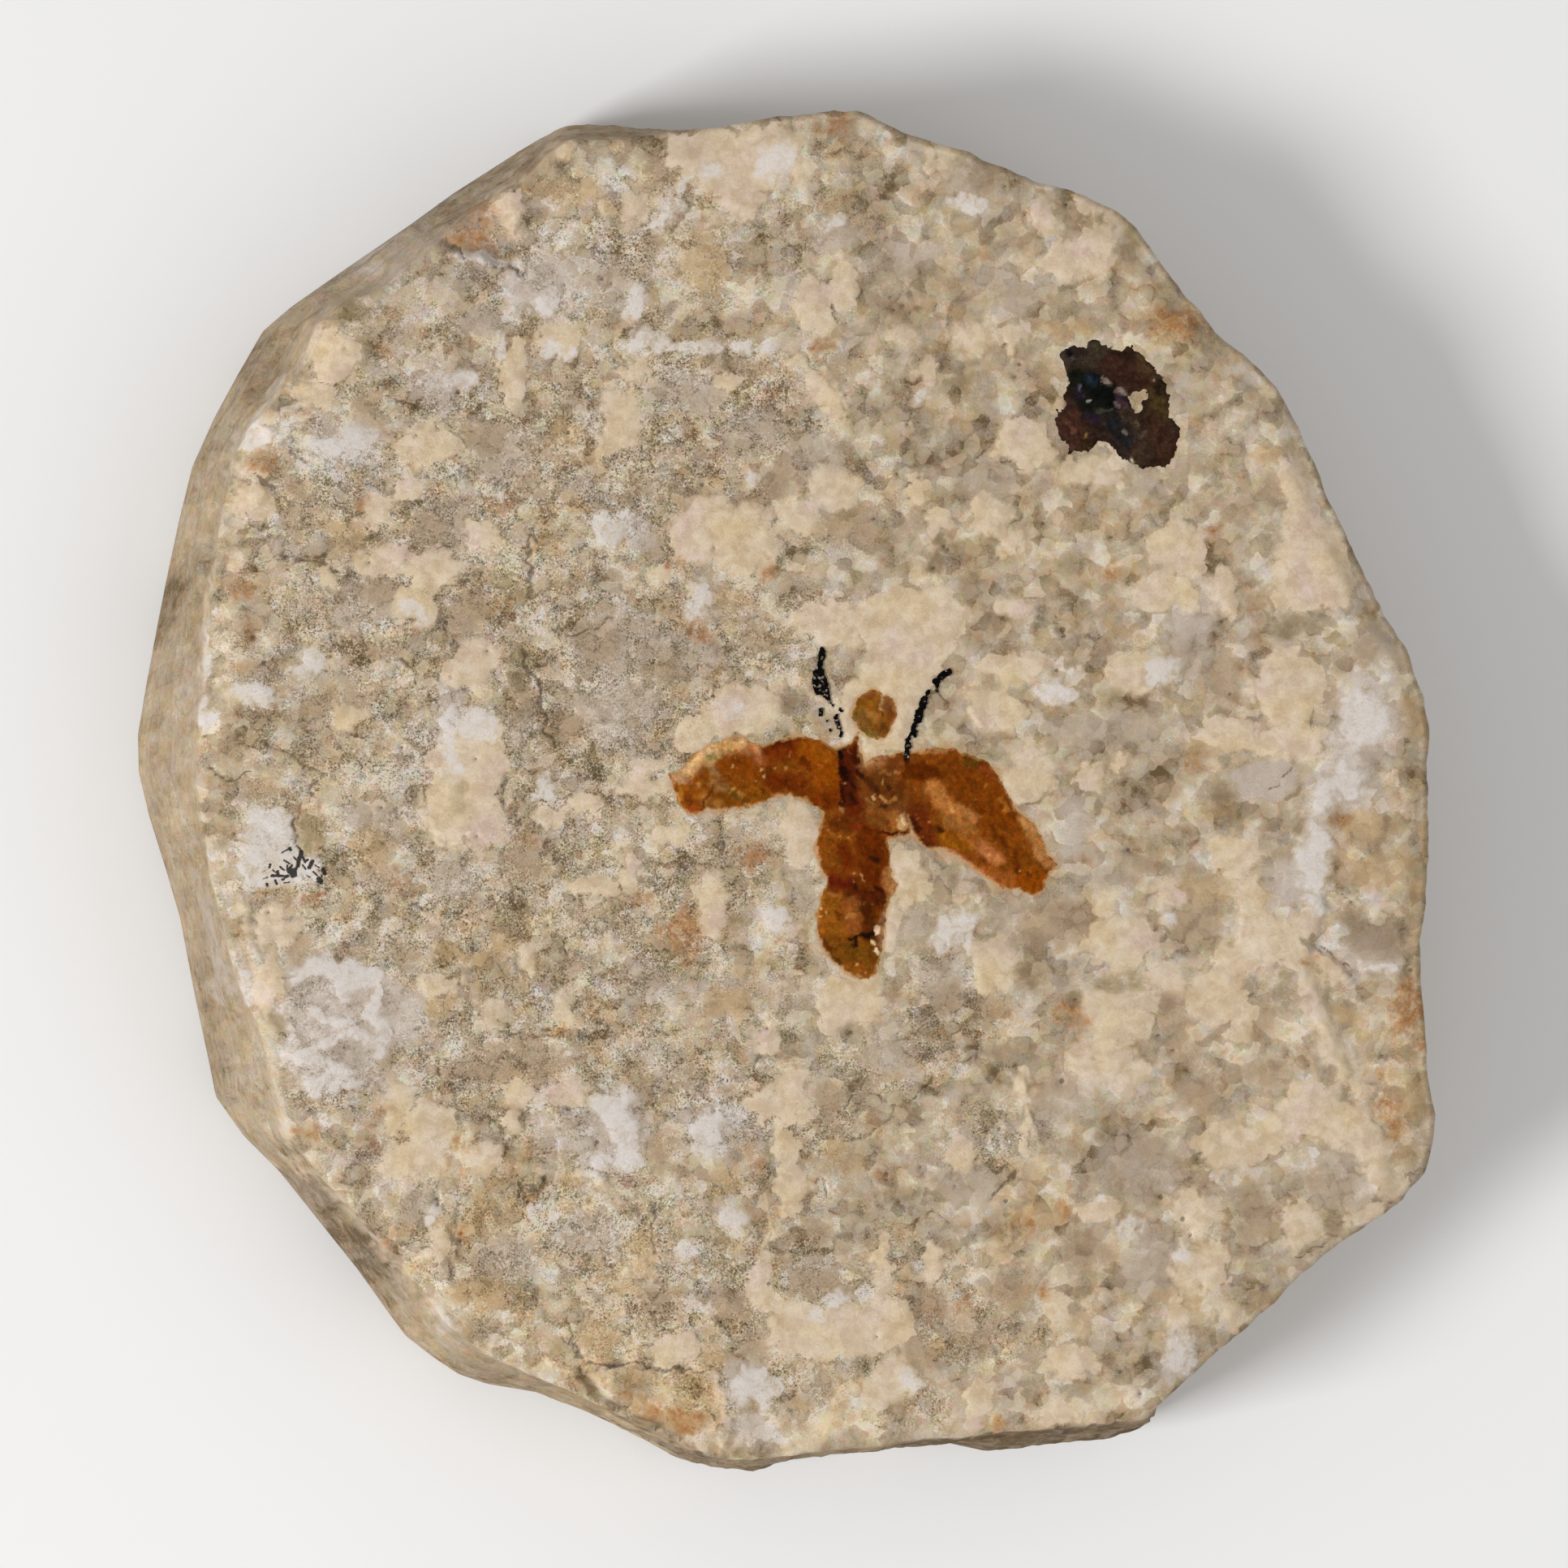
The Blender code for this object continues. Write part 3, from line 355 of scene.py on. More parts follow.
# Patches with a shape of their own, by the same colours
SHAPED_PATCHES = {
    "cream": [
        [
            (828, 165), (880, 158), (1000, 155), (985, 185), (968, 205), (950, 225), (945, 255), (925, 265),
            (900, 262), (885, 240), (862, 235), (850, 215), (835, 200),
        ],
        [
            (1060, 735), (1100, 728), (1150, 735), (1190, 745), (1195, 770), (1180, 790), (1165, 810),
            (1150, 840), (1140, 860), (1125, 900), (1115, 925), (1065, 930), (1062, 912), (1045, 900),
            (1035, 880), (1040, 850), (1060, 830), (1075, 800), (1062, 780),
        ],
        [
            (545, 905), (560, 890), (590, 884), (618, 892), (624, 940), (612, 975), (622, 1010), (618, 1036),
            (596, 1050), (572, 1038), (556, 1048), (540, 1040), (530, 1012), (522, 985), (540, 960),
            (530, 940),
        ],
        [
            (1580, 560), (1612, 575), (1622, 620), (1640, 660), (1665, 690), (1672, 720), (1655, 745),
            (1625, 750), (1600, 760), (1575, 745), (1570, 700), (1585, 670), (1580, 620),
        ],
        [
            (1600, 1330), (1612, 1350), (1640, 1362), (1672, 1368), (1696, 1392), (1706, 1425), (1720, 1468),
            (1700, 1464), (1680, 1432), (1650, 1404), (1615, 1402), (1580, 1412), (1550, 1436), (1510, 1440),
            (1478, 1430), (1474, 1400), (1500, 1388), (1540, 1392), (1578, 1372), (1592, 1350),
        ],
        [
            (1572, 1150), (1598, 1146), (1618, 1190), (1640, 1248), (1668, 1312), (1690, 1352), (1678, 1360),
            (1650, 1322), (1622, 1268), (1596, 1212),
        ],
        [
            (830, 640), (842, 622), (870, 612), (900, 618), (930, 625), (952, 640), (956, 670), (945, 700),
            (915, 708), (880, 702), (850, 690), (832, 668),
        ],
        [
            (945, 1615), (975, 1605), (1010, 1615), (1060, 1612), (1090, 1590), (1110, 1600), (1125, 1625),
            (1120, 1650), (1095, 1668), (1060, 1672), (1020, 1680), (990, 1672), (975, 1655), (950, 1650),
        ],
    ],
    "white": [
        [
            (300, 1000), (340, 990), (360, 1000), (362, 1040), (400, 1080), (350, 1095), (300, 1090),
        ],
    ],
    "haze": [
        [
            (1655, 850), (1680, 838), (1712, 855), (1722, 885), (1712, 915), (1690, 940), (1688, 975),
            (1665, 1000), (1648, 1010), (1640, 1040), (1632, 1090), (1612, 1115), (1598, 1100), (1600, 1050),
            (1605, 1010), (1612, 975), (1625, 955), (1640, 930), (1650, 905),
        ],
        [
            (350, 1190), (385, 1178), (430, 1182), (470, 1195), (500, 1215), (512, 1240), (495, 1262),
            (480, 1290), (470, 1315), (440, 1335), (400, 1345), (365, 1340), (350, 1300), (345, 1250),
        ],
    ],
}

# Wide soft areas: middle, half width, half height, how much lighter, and how much yellower the stone is
# there. The darker areas on the wall at the upper and lower left are painted shade.
WIDE_AREAS = [
    (440, 1270, 150, 170, 0.06, -0.10), (650, 1570, 150, 150, 0.05, 0.10), (1020, 1745, 90, 40, 0.06, 0.25),
    (1620, 1150, 90, 60, 0.08, -0.15), (700, 450, 60, 30, 0.05), (430, 560, 80, 50, 0.05, -0.20),
    (680, 345, 90, 50, 0.04, -0.40), (1090, 350, 100, 90, -0.08), (1175, 550, 80, 60, -0.10),
    (950, 550, 60, 60, -0.15), (660, 890, 36, 80, -0.08), (1370, 940, 80, 60, -0.06),
    (1250, 1265, 60, 50, -0.08), (1370, 1425, 70, 60, -0.09, -0.1), (1065, 1320, 50, 40, -0.08),
    (795, 785, 60, 50, -0.07), (1480, 670, 40, 40, -0.08), (1500, 770, 40, 40, -0.07, -0.25),
    (1340, 1430, 50, 50, -0.05), (850, 155, 160, 30, -0.06), (720, 1380, 60, 50, 0.02, -0.35),
    (890, 1375, 50, 40, 0.02, -0.30), (1680, 910, 60, 90, 0.03, -0.35), (1690, 1170, 50, 50, 0, -0.30),
    (540, 490, 50, 40, 0.02, -0.25), (560, 910, 40, 70, 0.03, -0.25), (800, 1690, 110, 80, 0.0, 0.35),
    (590, 1515, 40, 40, 0, 0.35), (830, 1145, 50, 40, 0, 0.35), (1725, 1310, 40, 110, 0, 0.35),
    (1280, 1510, 60, 60, 0, 0.30), (1300, 660, 110, 70, 0, 0.25), (1450, 395, 50, 40, 0, 0.5),
    (590, 1165, 80, 50, 0, 0.30), (520, 300, 130, 60, -0.10, -0.35), (510, 315, 60, 30, 0.10),
    (910, 275, 40, 30, 0.06), (930, 415, 60, 20, 0.06), (600, 400, 60, 20, 0.05), (770, 450, 60, 30, 0.05),
    (360, 545, 60, 50, 0.08), (1360, 420, 90, 60, 0.07), (1440, 500, 30, 60, 0.05), (1690, 750, 40, 40, 0.09),
    (450, 1135, 40, 50, 0.09), (1600, 1190, 40, 30, 0.08), (1700, 1360, 40, 80, 0.08),
    (440, 1400, 40, 40, 0.07), (615, 1450, 40, 30, 0.05, 0.2), (620, 1580, 50, 40, 0.06, 0.2),
    (740, 1640, 50, 80, 0.10, 0.1), (860, 1710, 50, 30, 0.05, 0.2), (1060, 1745, 60, 40, 0.09),
    (930, 1560, 80, 50, 0.05), (530, 870, 30, 110, 0.05), (700, 770, 30, 30, 0.05), (860, 1130, 40, 60, 0.05),
    (1130, 1040, 60, 30, 0.05), (940, 640, 40, 30, 0.05), (1100, 690, 30, 30, 0.05),
    (1130, 600, 80, 40, -0.06), (1260, 570, 90, 40, -0.07), (1030, 690, 30, 50, -0.05),
    (1250, 690, 50, 40, -0.05), (580, 640, 50, 40, -0.07), (300, 850, 50, 50, -0.07),
    (1180, 800, 50, 40, -0.08), (1350, 900, 70, 50, -0.12), (1450, 850, 40, 40, -0.05),
    (1100, 270, 80, 50, -0.05), (980, 170, 30, 50, -0.05), (380, 1240, 50, 50, -0.05, -0.2),
    (920, 1265, 80, 30, -0.05), (1160, 1130, 30, 30, -0.06), (1180, 1550, 50, 30, -0.06),
    (1340, 1520, 60, 60, -0.05), (1390, 1580, 60, 40, -0.05), (1620, 1420, 30, 30, -0.07),
    (1350, 1060, 60, 50, -0.05), (1490, 990, 60, 30, -0.05), (1690, 960, 40, 60, -0.05),
    (660, 950, 30, 30, -0.05), (640, 1370, 24, 60, 0, 0.25), (660, 1500, 150, 40, 0, 0.20),
    (1750, 1000, 30, 250, 0, 0.35), (650, 650, 50, 60, 0, 0.25), (1390, 1200, 70, 50, 0, -0.22),
    (470, 1430, 60, 30, 0, -0.22), (910, 1400, 30, 40, 0, -0.25), (540, 950, 60, 40, 0, -0.15),
    (460, 335, 40, 16, 0.20, -0.25), (660, 200, 40, 16, -0.20, -0.1), (262, 1270, 30, 80, -0.14),
    (430, 1545, 60, 60, -0.22, -0.2), (740, 1745, 60, 16, -0.10), (500, 1630, 60, 40, -0.08, 0.1),
    (330, 480, 40, 60, 0.07), (420, 585, 60, 30, 0.05), (500, 310, 60, 30, 0.06), (610, 400, 60, 20, 0.05),
    (500, 960, 24, 50, 0.08), (380, 1100, 50, 30, 0.05), (450, 1165, 30, 40, 0.05), (1695, 755, 30, 40, 0.06),
    (1135, 1270, 30, 24, 0.06), (985, 1268, 30, 20, 0.05), (940, 1600, 40, 40, 0.05),
    (615, 1580, 40, 40, 0.05), (860, 1715, 70, 24, 0.05), (1070, 1745, 50, 24, 0.05),
    (1590, 1300, 26, 50, -0.06), (1625, 1420, 40, 20, -0.06), (1380, 905, 60, 30, -0.06),
    (1200, 800, 40, 30, -0.05), (1100, 540, 60, 30, -0.05), (1240, 590, 80, 30, -0.05),
    (400, 1310, 60, 24, -0.06), (1180, 1545, 40, 30, -0.05), (780, 430, 80, 20, 0.04),
    (930, 430, 40, 20, 0.05), (1410, 1030, 40, 30, -0.04), (1040, 640, 24, 50, -0.04),
    (580, 640, 30, 30, -0.05), (290, 850, 30, 40, -0.05), (775, 1540, 120, 60, 0.05, -0.05),
    (790, 1660, 90, 60, 0.05, -0.05), (1375, 1500, 80, 100, -0.05, -0.05), (1225, 1280, 80, 90, -0.04),
    (1390, 900, 60, 40, -0.05), (1670, 1445, 30, 26, -0.05), (1130, 600, 60, 40, -0.04),
    (950, 580, 30, 30, -0.06), (1290, 560, 60, 30, -0.04), (1180, 800, 30, 20, -0.04),
    (820, 420, 60, 20, 0.05), (670, 620, 30, 30, 0.06), (640, 880, 40, 40, 0.06), (440, 1150, 40, 60, 0.06),
    (410, 570, 50, 30, 0.06), (1695, 750, 30, 30, 0.05), (740, 1650, 30, 80, 0.05), (560, 1340, 40, 40, 0.05),
    (1090, 1440, 50, 30, 0.04), (1360, 400, 90, 40, 0.05), (1680, 1380, 40, 60, 0.04),
    (1700, 1150, 30, 40, 0.05), (1060, 1755, 60, 26, 0.08), (850, 1740, 60, 30, 0.0, 0.4),
    (820, 1270, 50, 20, -0.04), (600, 225, 60, 16, -0.08),
]

# Painted shade of the wall alone, with a little painted light: middle, half width, half height, and how much
# lighter the wall is painted there
WALL_PAINTED_SHADE = [
    (1300, 1785, 240, 120, -0.30), (1180, 1795, 70, 60, -0.06), (920, 1812, 130, 90, -0.22),
    (740, 1738, 90, 80, -0.12), (600, 1700, 60, 50, -0.10), (375, 1460, 60, 60, -0.24),
    (530, 1640, 36, 30, 0.12), (450, 1550, 60, 40, -0.08), (310, 440, 40, 40, -0.26),
    (205, 735, 22, 50, -0.26), (450, 340, 40, 24, 0.08),
]

# Where the ground is granular and crisp: middle, half width, half height
GRANULAR = [
    (750, 860, 150, 110), (700, 620, 130, 80), (560, 620, 90, 110), (450, 620, 90, 60), (450, 750, 90, 60),
    (560, 540, 80, 50), (900, 500, 110, 60), (820, 570, 90, 40), (560, 1120, 120, 70), (620, 1300, 110, 60),
    (480, 900, 90, 50), (660, 1060, 70, 80), (870, 1080, 60, 60), (760, 1290, 90, 50), (700, 1530, 130, 60),
    (850, 1600, 100, 60), (1130, 1590, 90, 60), (1200, 1640, 80, 40), (1100, 1310, 80, 40),
    (780, 1160, 80, 50), (980, 1570, 70, 40), (1020, 1690, 60, 30), (760, 310, 60, 30), (700, 500, 60, 40),
    (1130, 1740, 60, 30), (380, 630, 50, 40), (640, 720, 60, 80), (960, 780, 60, 50), (900, 1350, 60, 50),
    (560, 1560, 60, 40), (1010, 1380, 40, 40), (1220, 1400, 60, 40), (420, 1080, 60, 60), (380, 1330, 70, 40),
    (1180, 1240, 60, 60),
]

# Dark cracks, and broken edges painted pale, partly as fresh stone and partly as painted light on their lit
# scarps: their points, half width, and strength
CRACKS = [
    ([(722, 1681), (760, 1682), (800, 1683), (840, 1688), (870, 1687)], 2.0, 1.0),
    ([(472, 482), (505, 494), (517, 507)], 1.6, 0.8), ([(362, 690), (400, 690), (420, 706)], 1.6, 0.8),
    ([(325, 920), (355, 925), (365, 940), (400, 952)], 1.8, 0.6),
    ([(499, 812), (508, 826), (515, 842)], 2.2, 0.9),
    ([(653, 664), (650, 690), (655, 716), (652, 738)], 2.2, 0.9),
    ([(640, 800), (652, 822), (668, 844), (662, 868), (672, 890), (678, 920)], 2.4, 0.9),
    ([(698, 790), (720, 780), (752, 762)], 1.8, 0.7), ([(621, 955), (623, 990)], 1.6, 0.45),
    ([(642, 1018), (622, 1040), (617, 1060)], 1.8, 0.6), ([(503, 1112), (522, 1119)], 2.0, 0.7),
    ([(1160, 1305), (1200, 1303), (1238, 1313), (1254, 1312)], 1.8, 0.7),
    ([(1118, 1357), (1135, 1347), (1150, 1325)], 2.2, 0.8),
    ([(1040, 1366), (1055, 1353), (1080, 1350), (1100, 1358), (1098, 1372), (1085, 1392), (1060, 1404), (1042,
     1400)], 1.6, 0.6),
    ([(1222, 1478), (1240, 1455), (1258, 1438)], 2.0, 0.8),
    ([(1141, 1496), (1150, 1492), (1158, 1502), (1172, 1506)], 1.5, 0.8),
    ([(1003, 1455), (1015, 1455), (1022, 1465), (1018, 1475)], 1.6, 0.7),
    ([(700, 1620), (705, 1660), (720, 1680)], 1.5, 0.6),
    ([(1640, 1097), (1655, 1103), (1668, 1120)], 2.0, 0.5),
    ([(1618, 1160), (1640, 1180), (1655, 1188), (1665, 1205)], 2.0, 0.5),
    ([(358, 538), (362, 560), (376, 569)], 1.4, 0.7), ([(300, 630), (322, 646)], 1.4, 0.6),
    ([(314, 584), (326, 594), (337, 606)], 2.6, 0.9),
    ([(560, 306), (600, 328), (640, 331), (646, 344)], 1.6, 0.7),
    ([(380, 440), (384, 462), (402, 475)], 1.5, 0.5), ([(800, 1767), (835, 1782), (872, 1792)], 2.4, 0.8),
    ([(1205, 1768), (1290, 1764), (1400, 1755)], 1.8, 0.7), ([(1300, 758), (1312, 788)], 2.0, 0.4),
    ([(1600, 1552), (1620, 1535), (1635, 1532)], 2.0, 0.5), ([(1738, 1447), (1756, 1438)], 2.0, 0.5),
    ([(255, 943), (270, 956), (292, 960), (304, 955)], 2.2, 0.8), ([(387, 962), (380, 986)], 1.8, 0.6),
    ([(1590, 948), (1575, 962), (1560, 972)], 2.4, 0.4), ([(803, 1482), (804, 1530), (815, 1560)], 1.4, 0.6),
    ([(615, 1470), (640, 1456), (665, 1468)], 1.6, 0.7), ([(722, 1440), (755, 1446)], 1.8, 0.6),
    ([(380, 685), (340, 686), (330, 690)], 1.4, 0.4), ([(536, 1312), (540, 1326)], 2.0, 0.8),
    ([(655, 663), (665, 673)], 2.0, 0.9), ([(612, 1272), (660, 1274), (700, 1272)], 1.5, 0.5),
    ([(371, 994), (367, 1003), (361, 1006), (360, 1016), (360, 1024), (364, 1034)], 1.5, 0.8),
    ([(1330, 790), (1350, 800)], 1.6, 0.4), ([(1200, 560), (1230, 566), (1262, 576)], 1.2, 0.3),
]
BROKEN_EDGES = [
    ([(352, 462), (330, 500), (300, 560), (283, 610)], 2.5, 0.9),
    ([(330, 455), (300, 520), (276, 590)], 2.0, 0.7), ([(372, 440), (345, 500), (318, 545)], 2.2, 0.6),
    ([(1592, 1172), (1620, 1230), (1642, 1282), (1660, 1322)], 4.0, 0.7),
    ([(668, 1449), (720, 1443), (762, 1464), (792, 1481)], 2.4, 0.7),
    ([(797, 1490), (803, 1540), (815, 1562), (800, 1582), (762, 1592)], 2.2, 0.7),
    ([(742, 1456), (776, 1500), (791, 1522), (800, 1556)], 2.4, 0.7),
    ([(345, 1400), (400, 1462), (432, 1492), (470, 1532), (516, 1590), (560, 1640)], 2.0, 0.7),
    ([(872, 1688), (886, 1706), (893, 1742), (890, 1780)], 2.6, 0.7),
    ([(740, 1742), (790, 1768), (850, 1788)], 3.4, 0.8),
    ([(1332, 1203), (1345, 1226), (1345, 1248)], 2.8, 0.8),
    ([(1208, 1303), (1245, 1320), (1264, 1345)], 1.8, 0.7),
    ([(1256, 1366), (1272, 1385), (1275, 1425)], 2.0, 0.6),
    ([(1200, 1700), (1190, 1735), (1187, 1760)], 2.2, 0.6),
    ([(495, 1106), (503, 1118), (530, 1124), (540, 1134)], 2.0, 0.8),
    ([(503, 822), (511, 845), (514, 868)], 2.2, 0.7), ([(1645, 1100), (1675, 1112), (1722, 1119)], 2.6, 0.6),
    ([(284, 962), (298, 958), (312, 951)], 2.0, 0.7), ([(554, 300), (600, 322), (642, 324)], 3.0, 0.7),
    ([(1046, 1402), (1075, 1402), (1098, 1384)], 1.6, 0.7), ([(604, 240), (650, 222), (688, 182)], 2.4, 0.6),
    ([(1535, 812), (1540, 845), (1536, 880)], 2.2, 0.5), ([(1194, 855), (1198, 880), (1212, 896)], 2.0, 0.6),
    ([(1000, 445), (1020, 458), (1046, 500), (1044, 515)], 2.0, 0.6), ([(940, 334), (936, 360)], 2.2, 0.8),
    ([(527, 1005), (535, 1025), (548, 1038)], 2.2, 0.6),
    ([(1504, 1165), (1530, 1150), (1538, 1118)], 2.2, 0.6), ([(1250, 1322), (1262, 1345)], 2.4, 0.5),
    ([(1215, 1535), (1242, 1530), (1248, 1490)], 2.0, 0.6), ([(1160, 1560), (1200, 1545)], 2.0, 0.5),
    ([(1622, 1282), (1640, 1300), (1655, 1325)], 4.0, 0.8), ([(250, 830), (252, 760), (264, 690)], 2.4, 0.8),
    ([(311, 1170), (322, 1215), (334, 1290), (350, 1400)], 4.2, 1.0),
    ([(296, 1105), (304, 1140), (311, 1175)], 3.4, 0.8), ([(500, 1512), (478, 1490)], 1.4, 0.4),
    ([(740, 485), (736, 520), (742, 555)], 2.0, 0.5),
]

# Small dark pits: middle and radius
PITS = [
    (831, 419, 3.2), (704, 219, 2.2), (756, 187, 1.8), (608, 252, 2.6), (742, 344, 3.4), (753, 350, 3.0),
    (985, 397, 2.0), (985, 405, 2.0), (1256, 449, 3.4), (1251, 464, 2.6), (818, 748, 3.2), (880, 675, 2.2),
    (865, 597, 3.4), (1285, 645, 2.8), (1309, 776, 4.6), (1369, 662, 2.6), (538, 1477, 3.6), (539, 1484, 3.2),
    (434, 1460, 3.4), (1080, 1647, 2.6), (888, 1629, 3.0), (728, 1552, 2.0), (745, 1550, 2.0),
    (1457, 1502, 4.2), (1467, 1522, 2.8), (1430, 1475, 4.2), (1405, 1717, 3.0), (1380, 1690, 3.6),
    (1092, 1447, 3.8), (1092, 1454, 2.8), (650, 1481, 3.2), (312, 785, 3.4), (325, 816, 3.4),
    (1427, 1276, 3.6), (1445, 1294, 3.6), (1308, 1332, 4.4), (1231, 1391, 3.4), (568, 1520, 3.0),
    (567, 1529, 3.0), (740, 1103, 2.6), (835, 1047, 2.6), (675, 1140, 2.6), (945, 1267, 2.6),
    (850, 1164, 2.6), (708, 1108, 2.6), (1738, 1195, 3.6), (1390, 1047, 3.2), (455, 693, 2.4),
    (395, 503, 2.0), (527, 586, 2.6), (695, 351, 2.6), (700, 533, 3.6), (1048, 1272, 3.4), (1150, 700, 3.4),
    (1163, 673, 3.0), (1302, 826, 3.2), (500, 690, 1.6), (633, 1440, 1.8), (588, 1030, 2.2), (436, 1027, 2.4),
    (470, 995, 2.6), (1515, 855, 3.0), (1505, 766, 3.0), (1325, 1232, 3.4), (806, 766, 3.2), (764, 470, 2.2),
    (680, 633, 2.4), (834, 796, 2.6), (706, 876, 2.4), (1231, 687, 2.2), (1220, 588, 2.0), (1168, 677, 2.4),
    (1105, 584, 2.2), (573, 1030, 2.2), (331, 1124, 2.0), (275, 1062, 2.4), (293, 1152, 2.2),
    (534, 1038, 2.2), (495, 921, 2.2), (289, 1027, 2.0), (586, 935, 2.0), (1253, 1312, 2.4),
    (1349, 1303, 2.2), (1293, 1168, 2.4), (1166, 1165, 2.2), (1268, 1130, 2.0), (1134, 1438, 2.4),
    (1177, 1462, 2.2), (1239, 1480, 3.6), (1612, 1313, 2.4), (1569, 1082, 2.2), (1496, 1187, 2.0),
    (541, 1318, 2.4), (359, 1254, 2.4), (426, 1400, 2.2), (670, 1452, 4.4), (491, 1514, 2.4),
    (456, 1505, 2.2), (571, 1550, 2.4), (727, 1479, 2.2), (881, 1368, 2.4), (736, 1407, 3.4),
    (922, 1577, 2.4), (1394, 1638, 2.2), (1326, 1750, 2.6), (1485, 1462, 2.2), (1228, 1665, 2.2),
    (371, 503, 2.2), (513, 536, 2.4), (564, 483, 4.0), (295, 668, 2.4), (600, 802, 2.4), (450, 673, 2.2),
    (431, 641, 2.2), (597, 515, 2.2), (425, 430, 2.2), (596, 613, 2.2), (327, 524, 2.2), (1314, 252, 2.4),
    (1239, 229, 2.2), (1193, 332, 2.2), (1113, 376, 2.4), (1101, 382, 2.4), (1043, 469, 2.2),
    (1238, 424, 2.4), (1263, 264, 2.2), (1118, 523, 2.2), (1042, 487, 2.2), (1481, 1585, 2.2),
    (394, 994, 1.6), (392, 1053, 1.6),
]

# Black mineral marks on the white patch at the left: strokes as their points and half widths
BLACK_MARKS = [
    ([(347, 1051), (352, 1048), (356, 1046)], 0.9), ([(357, 1045), (358, 1047)], 1.9),
    ([(371, 1050), (371, 1054)], 2.9), ([(370, 1055), (368, 1061), (367, 1067)], 2.5),
    ([(367, 1067), (363, 1072)], 1.8), ([(373, 1056), (376, 1062), (379, 1059)], 1.6),
    ([(385, 1061), (381, 1069)], 2.4), ([(358, 1073), (362, 1077)], 4.4), ([(364, 1072), (360, 1080)], 2.0),
    ([(335, 1079), (346, 1079), (354, 1080)], 1.7), ([(342, 1074), (343, 1078)], 1.9),
    ([(355, 1079), (348, 1084)], 1.5), ([(354, 1066), (354, 1072)], 1.2), ([(333, 1065), (332, 1069)], 1.5),
    ([(322, 1075), (330, 1071)], 0.3), ([(329, 1089), (329, 1091)], 1.6), ([(339, 1085), (341, 1089)], 1.7),
    ([(393, 1083), (395, 1086)], 3.3), ([(398, 1071), (400, 1076)], 2.6), ([(396, 1078), (397, 1081)], 0.8),
    ([(390, 1086), (394, 1088)], 1.0), ([(362, 1056), (366, 1060)], 1.2), ([(350, 1060), (357, 1064)], 1.0),
    ([(360, 1066), (356, 1071)], 1.4), ([(345, 1068), (350, 1072)], 1.3), ([(373, 1066), (377, 1071)], 1.1),
    ([(336, 1072), (340, 1075)], 1.0), ([(386, 1074), (391, 1079)], 1.2), ([(350, 1088), (357, 1087)], 0.8),
    ([(324, 1083), (330, 1081)], 0.7), ([(378, 1079), (382, 1081)], 0.8), ([(366, 1042), (370, 1046)], 1.0),
    ([(388, 1066), (393, 1069)], 0.9),
]

